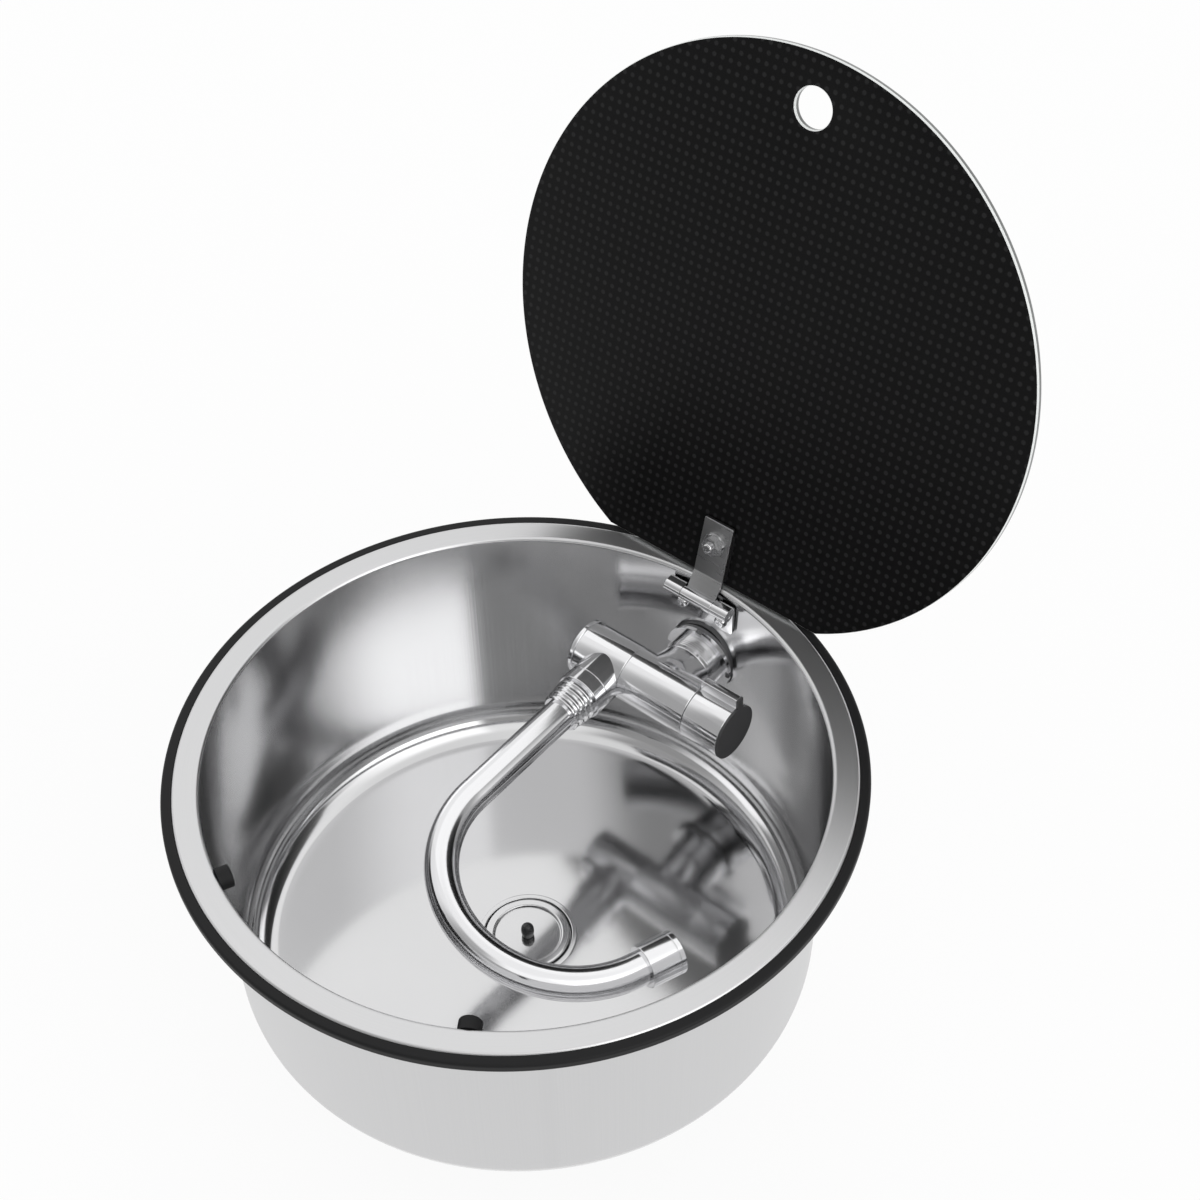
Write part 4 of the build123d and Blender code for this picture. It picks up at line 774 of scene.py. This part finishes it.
def make_glass(lid, colours):
    """The glass, as columns of points that run round from the finger hole to the outline.

    The outline is a circle cut off straight at the back. Each column's place at the hole lies in
    the same direction from the hole's middle. Rows follow the faces and the round edges.
    """
    half = math.acos(-lid.chord / lid.radius)
    angle = np.linspace(-half, half, 420) + math.pi / 2
    arc = lid.radius * np.stack([np.cos(angle), np.sin(angle)], 1) + (0, lid.hinge_y)
    outer = np.concatenate([arc, np.linspace(arc[-1], arc[0], 30)[1:-1]])
    middle = np.array([0, lid.hinge_y + lid.hole_reach])
    reach = outer - middle
    spoke = reach / np.linalg.norm(reach, axis=1, keepdims=True)
    inset, drop = edge_rows(lid.edge_round)
    low, high = lid.glass_low, lid.glass_low + lid.glass
    # The edge below this height is painted as a highlight, the edge above it as shade.
    highlight_top = low + lid.glass * lid.bevel
    shrink = np.concatenate([inset[::-1], [0], inset])[:, None, None]
    level = np.concatenate([low + drop[::-1], [highlight_top], high - drop])
    flat = np.concatenate([
        outer - shrink * mitres(outer, closed=True),
        (middle + (lid.hole + shrink) * spoke)[::-1],
    ])
    level = np.concatenate([level, level[::-1]])[:, None, None]
    origin, left, along, up = lid_frame(lid)
    grid = origin + flat[..., :1] * left + flat[..., 1:] * along + level * up

    def finish_of(centres):
        height = (centres - origin) @ up
        side = np.abs(height - (low + high) / 2) < lid.glass / 2 - 0.3 * lid.edge_round
        # Edge faces below the split take the painted highlight finish, those above it the painted shade
        # finish.
        return np.select([side & (height < highlight_top), side], [1, 2], 0)

    finishes = [
        printed_glass(lid, colours), ground_edge("lid_edge_painted_highlight", colours.glass_edge_highlight),
        ground_edge("lid_edge_painted_shade", colours.glass_edge_shade),
    ]
    piece("lid_pane", [shell(grid, closed_rows=True)], "lid", ["glass_lid"], finishes, finish_of, 60)


def make_strap(lid, colours):
    """The bent steel strap with the knuckle that turns on the pin."""
    origin, left, along, up = lid_frame(lid)
    low = lid.glass_low - lid.pad - lid.strap / 2
    start = lid.knuckle - lid.strap / 2
    corners = [(0, start), (lid.jog_start, start), (lid.jog_end, low), (lid.strap_length, low)]
    bend = lid.strap_bend + lid.strap / 2
    line = rounded(corners, [bend, bend], 8)
    inset, drop = edge_rows(lid.strap_corner, 6)
    line = np.concatenate([line[:-1], line[-1] - np.stack([drop, 0 * drop], 1)])
    half_width = np.full(len(line), lid.strap_width / 2)
    half_width[-len(inset):] -= inset
    centres = origin + line[:, :1] * along + line[:, 1:] * up
    step = np.gradient(line, axis=0)
    step /= np.linalg.norm(step, axis=1, keepdims=True)
    ups = step[:, :1] * up - step[:, 1:] * along
    steel = brushed("strap_steel", [c * 0.55 for c in colours.steel], 0.24, (60, 900, 900))
    polished = plated("knuckle_steel", colours.chrome, 0.10)
    half = lid.middle_width / 2
    knuckle = ring_profile(lid.knuckle, lid.pin, -half, half, lid.strap_edge)
    shells = [
        swept(centres, left, ups, half_width, lid.strap / 2, lid.strap_edge),
        turned(knuckle, origin, (1, 0, 0), 64),
    ]
    piece("lid_strap", shells, "lid", ["hinge_strap"], [steel, polished], [0, 1])


# ---------------------------------------------------------------------------------- tap
def make_spout(tap, chrome):
    """The bent tube and its outlet sleeve.

    Circles stand square to a line of a straight run, an arc that turns right, and a straight end.
    The line lies in a plane that is tilted about the straight run.
    """
    origin = np.array([tap.spout_x, tap.axis_y, tap.axis_z])
    right = np.array([math.cos(tap.droop), 0, -math.sin(tap.droop)])
    back = np.array([0.0, 1, 0])
    up = np.cross(right, back)
    turn = np.linspace(0, tap.bend_turn, 160)[:, None]
    wheel = np.concatenate([np.cos(turn), np.sin(turn)], 1)
    arc = np.array([tap.bend, -tap.spout_run]) - tap.bend * wheel
    way = wheel[:, ::-1] * (1, -1)
    start = [(0, tap.nut_nose - tap.socket_reach), (0, -tap.spout_run + tap.spout / 5)]
    end = arc[-1] + way[-1] * np.array([[tap.spout / 5], [tap.outlet_at + tap.outlet_grip]])
    line = np.concatenate([start, arc, end])
    way = np.concatenate([way[:1], way[:1], way, way[-1:], way[-1:]])
    centres = origin + line[:, :1] * right + line[:, 1:] * back
    side = way[:, :1] * back - way[:, 1:] * right
    angle = np.linspace(0, TURN, 72, endpoint=False)[:, None]
    grid = centres[:, None] + tap.spout * (np.cos(angle) * side[:, None] + np.sin(angle) * up)
    poles = centres[[0, -1], None] + 0 * grid[:2]
    grid = np.concatenate([poles[:1], grid, poles[1:]])
    piece("spout_pipe", [shell(grid)], "spout", ["spout_tube"], [chrome])

    direction = way[-1, 0] * right + way[-1, 1] * back
    mouth = origin + (arc[-1] + way[-1] * tap.outlet_at) @ np.stack([right, back])
    bore, groove = tap.outlet - tap.outlet_wall, tap.outlet_length - tap.outlet_groove
    valley = tap.outlet - tap.groove_depth
    corners = [
        (bore, tap.outlet_length), (bore, tap.outlet_grip), (tap.spout, tap.outlet_grip),
        (tap.spout, 0), (tap.outlet, 0), (tap.outlet, groove - tap.groove),
        (valley, groove - tap.groove), (valley, groove), (tap.outlet, groove),
        (tap.outlet, tap.outlet_length), (bore, tap.outlet_length),
    ]
    fine = tap.groove_depth / 3
    section = rounded(corners, [0, 0, 0, tap.edge, fine, fine, fine, fine, tap.groove_depth], 5)[:-1]
    piece("outlet_ring", [turned(section, mouth, direction)], "spout", ["outlet_sleeve"], [chrome])


def make_sleeve(tap, chrome):
    """The turning sleeve with the spout's socket, its end cap and the ribbed nut."""
    centre = np.array([0, tap.axis_y, tap.axis_z])
    spot = centre + (tap.spout_x, 0, 0)
    front = (0, -1, 0)
    barrel = disc_profile(tap.barrel, tap.sleeve_left, tap.sleeve_right, tap.edge)
    r, groove, fine = tap.socket, tap.socket_groove, tap.groove_depth / 3
    valley = r - tap.groove_depth
    root = tap.barrel / 2.2
    corners = [
        (0, root), (r, root), (r, groove), (valley, groove), (valley, groove + tap.groove),
        (r, groove + tap.groove), (r, tap.socket_reach), (0, tap.socket_reach),
    ]
    socket = rounded(corners, [0, fine, fine, fine, fine, tap.edge], 5)
    shells = [
        turned(barrel, centre, (1, 0, 0), 160, closed=False),
        turned(socket, spot, front, 128, closed=False),
    ]
    piece("sleeve_body", shells, "sleeve", ["spout_sleeve"], [chrome])

    face, top = tap.cap - tap.cap_step, tap.cap_width + tap.cap_rise
    corners = [
        (0, 0), (tap.cap, 0), (tap.cap, tap.cap_width), (face, tap.cap_width), (face, top), (0, top),
    ]
    cap = rounded(corners, [tap.edge, 2 * tap.edge, fine, tap.edge / 2], 5)
    place = centre + (tap.sleeve_left, 0, 0)
    piece("sleeve_end", [turned(cap, place, (-1, 0, 0), 128, closed=False)], "sleeve",
          ["sleeve_cap"], [chrome])

    ribs = 4
    pitch, root = tap.nut_length / ribs, tap.nut - tap.nut_root
    corners, radii = [(tap.nut_bore, -tap.nut_nose), (tap.nut_bore, 0), (root, 0)], [0, tap.edge / 2]
    for rib in range(ribs):
        drop, at = rib * tap.nut_taper, rib * pitch
        corners += [
            (root - drop, at + 0.2 * pitch), (tap.nut - drop, at + 0.38 * pitch),
            (tap.nut - drop, at + 0.82 * pitch), (root - drop, at + pitch),
        ]
        radii += [0.1 * pitch, 0.16 * pitch, 0.16 * pitch, 0.05 * pitch]
    corners += [(tap.spout, tap.nut_length), (tap.spout, -tap.nut_nose), corners[0]]
    section = rounded(corners, radii + [0, 0], 5)[:-1]
    place = spot - (0, tap.socket_reach, 0)
    piece("spout_ribbed_nut", [turned(section, place, front)], "sleeve", ["spout_nut"], [chrome])


def make_tap_body(tap, chrome):
    """Barrel, neck and threaded spigot.

    The neck is a row of ellipses round a line that sinks from the barrel's axis to the spigot's
    along a smooth step. Its half width falls from the foot to the middle as a bell curve.
    """
    y, z = tap.axis_y, tap.axis_z
    barrel = disc_profile(tap.barrel, tap.barrel_left, tap.barrel_right, tap.edge)
    r, d = tap.thread, tap.thread_depth
    length = tap.spigot_length
    turns = 7
    valleys = np.arange(1, turns + 1) * tap.thread_pitch + tap.neck_reach / 2
    ridges = [(r - d * (k == 0), valley + k * d) for valley in valleys for k in (-1, 0, 1)]
    corners = [
        (0, 0), (r, 0), *ridges, (r, length), (tap.spigot_bore, length),
        (tap.spigot_bore, length / 4), (0, length / 4),
    ]
    section = rounded(corners, [d, *[d / 4] * 3 * turns, d, 0, 0], 4)
    t = np.linspace(0, 1, 40)
    sink = t * t * (3 - 2 * t)
    foot_y = y + tap.barrel / 4
    place = np.stack([0 * t, foot_y + (tap.spigot_y + tap.neck_reach - foot_y) * t,
                      z + (tap.spigot_z - z) * sink], 1)
    flare = np.exp(-((t / 0.5) ** 2))
    wide = tap.neck + (tap.neck_foot - tap.neck) * flare
    angle = np.linspace(0, TURN, 96, endpoint=False)
    neck = place[:, None] + 0 * angle[:, None]
    neck[..., 0] += wide[:, None] * np.cos(angle)
    neck[..., 2] += tap.neck * np.sin(angle)
    neck = np.concatenate([place[:1, None] + 0 * neck[:1], neck, place[-1:, None] + 0 * neck[:1]])
    shells = [
        turned(barrel, (0, y, z), (1, 0, 0), 160, closed=False),
        turned(section, (0, tap.spigot_y, tap.spigot_z), (0, 1, 0), 128, closed=False),
        shell(neck),
    ]
    piece("tap_barrel", shells, "sink", ["tap_body"], [chrome])


def make_knob(tap, chrome):
    """The round knob with its lever plate."""
    y, z, left, right = tap.axis_y, tap.axis_z, tap.knob_left, tap.knob_right
    section = disc_profile(tap.barrel, left, right, tap.edge)
    grip = turned(section, (0, y, z), (1, 0, 0), 160, closed=False)
    top = z + tap.fin_reach
    outline = rounded([
        (left, z), (right, z), (right, top), (left + tap.fin_slope, top),
        (left, top - 2 * tap.fin_slope), (left, z),
    ], [0, tap.edge, 2 * tap.edge, 2 * tap.edge], 5)[:-1]
    frame_of = ((0, y + tap.fin_back, 0), (1, 0, 0), (0, 0, 1))
    fin = plate(outline, frame_of, -tap.fin / 2, tap.fin / 2, tap.edge)
    piece("knob_grip", [grip, fin], "knob", ["control_knob"], [chrome])


def make_waste(bowl, waste, colours):
    """The waste's turned body with its cross bars, and the lift-out plug."""
    steel = plated("waste_steel", colours.steel, 0.10)
    upright, centre, edge, fine = (0, 0, 1), (0, 0, 0), waste.edge, waste.plug_edge
    floor_z = floor_height(bowl)
    seat, top, under = floor_z - waste.cup_depth, floor_z + waste.rim_height, floor_z + waste.rim_gap
    wall, foot, end = waste.cup + waste.cup_wall, floor_z - waste.cup_foot, floor_z - waste.tube_end
    corners = [
        (waste.throat, seat), (waste.cup, seat), (waste.cup, top), (waste.rim, top),
        (waste.rim, under), (wall, under), (wall, foot), (waste.tube, foot), (waste.tube, end),
        (waste.throat, end), (waste.throat, seat),
    ]
    section = rounded(corners, [edge] * 3 + [0] * 4 + [edge / 2] * 2, 6)[:-1]
    shells = [turned(section, centre, upright, 128)]
    half_width, half_height = waste.bar_width / 2, waste.bar_height / 2
    middle = np.array([0, 0, seat - waste.bar_drop])
    for across in np.eye(3)[:2]:
        reach, side = (waste.throat + half_height) * across, across[[1, 0, 2]]
        shells.append(bar(middle - reach, middle + reach, side, half_width, half_height, fine, fine / 2))
    piece("waste_flange", shells, "sink", ["waste_body"], [steel])

    low = seat + waste.plug_lift
    rim, top, plate_z = waste.plug - waste.plug_rim, low + waste.plug_height, low + waste.plug_plate
    hub, hub_z, boss_z = waste.throat - waste.hub_gap, low - waste.hub_drop, low - waste.boss_drop
    corners = [
        (0, boss_z), (waste.boss, boss_z), (waste.boss, hub_z), (hub, hub_z), (hub, low),
        (waste.plug, low), (waste.plug, top), (rim, top), (rim, plate_z), (0, plate_z),
    ]
    bends = [1.25 * fine, 0, fine, 0, fine, waste.plug_round, waste.plug_round, edge]
    plug = turned(rounded(corners, bends, 6), centre, upright, 128, closed=False)
    piece("plug_plate", [plug], "plug", ["plug_disc"], [steel])

    r, foot, top = waste.knob, plate_z - waste.knob_sink, plate_z + waste.knob_height
    end = r * waste.knob_end
    corners = [(0, foot), (end, foot), (r, (foot + top) / 2), (end, top), (0, top)]
    knob = turned(rounded(corners, [r / 3, 2 * r, 0.82 * r], 10), centre, upright, 64, closed=False)
    black = moulded("plug_knob_black", colours.plastic, 0.22, 0.000003)
    piece("plug_handle", [knob], "plug", ["plug_knob"], [black])


def dress_nodes(colours, chrome):
    """Finishes of the pieces that keep the surfaces of their solids."""
    rubber = moulded("gasket_rubber", colours.rubber, 0.5, Specular_IOR_Level=0.2)
    fibre = moulded("gasket_fibre", colours.fibre, 0.35)
    bumper = moulded("bumper_rubber", colours.rubber, 0.55, Specular_IOR_Level=0.25)
    steel = plated("small_steel", colours.steel, 0.14)
    hinge = plated("hinge_steel", colours.chrome, 0.09)
    brass = brushed("fitting_brass", colours.brass, 0.22)
    nylon = moulded("nylon_white", colours.nylon, 0.4)
    black = moulded("waste_plastic", colours.plastic, 0.42)
    dark = moulded("knob_end_dark", colours.end_plate, 0.36, 0.000004)
    groups = {
        rubber: "waste_gasket_upper waste_gasket_lower tail_washer tap_gasket_outer lid_pad "
                "plug_seal spindle_rings",
        fibre: "tap_gasket_inner",
        bumper: "bumper_left bumper_right",
        black: "waste_backnut waste_tail waste_coupling_nut outlet_insert lid_bush",
        hinge: "hinge_leaf hinge_pin leaf_screws",
        steel: "leaf_washers leaf_nuts lid_bolt lid_washer lid_nut tap_back_washer "
               "spindle_screw knob_screw",
        brass: "tap_backnut inlet_nipple cartridge_nut valve_stem",
        nylon: "spindle_washer valve_cartridge spout_bush",
        dark: "knob_end_plate",
        chrome: "tap_ring_nut tap_body spout_sleeve sleeve_cap spout_tube spout_nut "
                "outlet_sleeve control_knob",
    }
    for finish, names in groups.items():
        for name in names.split():
            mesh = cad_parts[name].data
            mesh.materials.clear()
            mesh.materials.append(finish)


# ---------------------------------------------------------------------------------- stage
def rays_of(tree):
    """Three values that are one for rays from the camera, off metal and through glass."""
    rays = tree.nodes.new("ShaderNodeLightPath").outputs
    return [Value(tree, rays[f"Is {kind} Ray"]) for kind in ("Camera", "Glossy", "Transmission")]


def studio_sky(tree):
    """Light of the studio by direction.

    A tall softbox stands at the right, the walls behind and at the left are pale, the front is
    darker, and a diffuser hangs above. Sides are in degrees from the X axis and heights are the
    z of the direction. The horizon and the ceiling's middle are white.
    """
    box_start, box_end, back = (-37, -31), (-5, 45), (60, 105)
    left_end, front = (-155, -118), (-105, -72)
    diffuser, horizon, ceiling = (0.695, 0.735), (0.04, 0.22), (0.88, 0.97)
    split = tree.nodes.new("ShaderNodeSeparateXYZ")
    tree.links.new(tree.nodes.new("ShaderNodeTexCoord").outputs["Generated"], split.inputs[0])
    x, y, z = (Value(tree, out) for out in split.outputs)
    side = y.bearing(x)
    box = side.ramp(*np.radians(box_start)) * side.ramp(*np.radians(box_end), 1.0, 0.0)
    left = side.ramp(*np.radians(left_end), 0.5, 0.0)
    low = 0.40 + 1.85 * box + side.ramp(*np.radians(back), 0.0, 0.58) + left
    high = 0.45 + side.ramp(*np.radians(front), 0.0, 0.68) + 0.5 * box + left
    sky = low + (high - low) * z.ramp(*diffuser)
    return sky + (1 - sky) * z.ramp(*horizon, 1.0, 0.0).highest(z.ramp(*ceiling))


def make_stage():
    """Pale floor, white background, the studio's light and the camera."""
    scene = bpy.context.scene
    scene.view_settings.view_transform = "Standard"
    low, reach = CAD_BOUNDS[0][2], 6.0
    mesh = bpy.data.meshes.new("floor")
    mesh.from_pydata([(x, y, low) for x, y in ((-reach, -reach), (reach, -reach), (reach, reach),
                                               (-reach, reach))], [], [(0, 1, 2, 3)])
    floor = bpy.data.objects.new("floor", mesh)
    scene.collection.objects.link(floor)
    f = Finish("floor_pale", Base_Color=(0.9, 0.9, 0.9, 1), Roughness=0.9, Specular_IOR_Level=0.1)
    camera, glossy, through = rays_of(f.tree)
    white = f.node("ShaderNodeEmission", Color=(1, 1, 1, 1), Strength=1.0)
    white_share = 0.9 * camera.highest(glossy).highest(through)
    mix = f.node("ShaderNodeMixShader", Fac=white_share)
    f.tree.links.new(f.shader.outputs[0], mix.inputs[1])
    f.tree.links.new(white.outputs[0], mix.inputs[2])
    f.tree.links.new(mix.outputs[0], f.tree.nodes["Material Output"].inputs["Surface"])
    mesh.materials.append(f.material)

    world = bpy.data.worlds.new("studio")
    world.use_nodes = True
    scene.world = world
    tree = world.node_tree
    camera = rays_of(tree)[0]
    shade = studio_sky(tree) * (1 - camera) + camera
    grey = tree.nodes.new("ShaderNodeCombineColor")
    for socket in grey.inputs[:3]:
        tree.links.new(shade.socket, socket)
    tree.links.new(grey.outputs[0], tree.nodes["Background"].inputs["Color"])

    azimuth, height, roll = np.radians((40.0, 46.03, -1.49))
    spot = (0.57461, -0.60721, 1.00102)
    level = Vector((math.cos(azimuth), math.sin(azimuth), 0))
    away = Vector((math.sin(azimuth) * math.cos(height), -math.cos(azimuth) * math.cos(height),
                   math.sin(height)))
    upright = away.cross(level)
    right = math.cos(roll) * level + math.sin(roll) * upright
    up = math.cos(roll) * upright - math.sin(roll) * level
    lens = bpy.data.cameras.new("photo")
    lens.sensor_width, lens.lens = 36, 68.78
    holder = bpy.data.objects.new("photo", lens)
    turn = Matrix((right, up, away)).transposed().to_4x4()
    holder.matrix_world = Matrix.Translation(spot) @ turn
    scene.collection.objects.link(holder)
    scene.camera = holder


# ---------------------------------------------------------------------------------- operators
def chrome_finish(colours):
    """The tap's plating, made once."""
    return bpy.data.materials.get("tap_chrome") or plated("tap_chrome", colours.chrome, 0.03, 0.02)


class DressParts(bpy.types.Operator):
    """Gives the pieces that keep their solids' surfaces their finishes."""

    bl_idname = "sink.dress"
    bl_label = "Finishes"

    def execute(self, context):
        colours = sizes("sink_colours")
        dress_nodes(colours, chrome_finish(colours))
        return {"FINISHED"}


class BuildBowl(bpy.types.Operator):
    """Builds the pressed bowl and its rim seal."""

    bl_idname = "sink.bowl"
    bl_label = "Bowl"

    def execute(self, context):
        make_bowl(sizes("sink_bowl"), sizes("sink_colours"))
        make_seal(sizes("sink_bowl"), sizes("sink_colours"))
        return {"FINISHED"}


class BuildLid(bpy.types.Operator):
    """Builds the glass lid and its strap."""

    bl_idname = "sink.lid"
    bl_label = "Lid"

    def execute(self, context):
        make_glass(sizes("sink_lid"), sizes("sink_colours"))
        make_strap(sizes("sink_lid"), sizes("sink_colours"))
        return {"FINISHED"}


class BuildTap(bpy.types.Operator):
    """Builds the folding tap: body, sleeve, spout and knob."""

    bl_idname = "sink.tap"
    bl_label = "Tap"

    def execute(self, context):
        colours = sizes("sink_colours")
        for make in (make_tap_body, make_sleeve, make_spout, make_knob):
            make(sizes("sink_tap"), chrome_finish(colours))
        return {"FINISHED"}


class BuildWaste(bpy.types.Operator):
    """Builds the waste and its plug."""

    bl_idname = "sink.waste"
    bl_label = "Waste"

    def execute(self, context):
        make_waste(sizes("sink_bowl"), sizes("sink_waste"), sizes("sink_colours"))
        return {"FINISHED"}


class BuildStage(bpy.types.Operator):
    """Adds the floor, the studio's light, the background and the camera."""

    bl_idname = "sink.stage"
    bl_label = "Stage"

    def execute(self, context):
        make_stage()
        return {"FINISHED"}


STEPS = (DressParts, BuildBowl, BuildLid, BuildTap, BuildWaste, BuildStage)
GROUPS = {
    "sink_bowl": BowlSizes, "sink_lid": LidSizes, "sink_tap": TapSizes, "sink_waste": WasteSizes,
    "sink_colours": SinkColours,
}


class SinkPanel(bpy.types.Panel):
    """The building steps, and the sizes and colours they use."""

    bl_idname = "VIEW3D_PT_sink"
    bl_label = "Inset sink"
    bl_space_type = "VIEW_3D"
    bl_region_type = "UI"
    bl_category = "Sink"

    def draw(self, context):
        for step in STEPS:
            self.layout.operator(step.bl_idname)
        for group in GROUPS:
            box = self.layout.box()
            values = sizes(group)
            for name in values.__annotations__:
                box.prop(values, name)


def register():
    """Adds the classes and the scene's property groups."""
    for cls in (*GROUPS.values(), *STEPS, SinkPanel):
        bpy.utils.register_class(cls)
    for name, cls in GROUPS.items():
        setattr(bpy.types.Scene, name, PointerProperty(type=cls))


def unregister():
    """Takes the property groups and the classes away again."""
    for name in GROUPS:
        delattr(bpy.types.Scene, name)
    for cls in (SinkPanel, *reversed(STEPS), *GROUPS.values()):
        bpy.utils.unregister_class(cls)


def main():
    """Builds the sink and its stage step by step."""
    register()
    for step in STEPS:
        getattr(bpy.ops.sink, step.bl_idname.split(".")[1])()


if __name__ == "__main__":
    main()
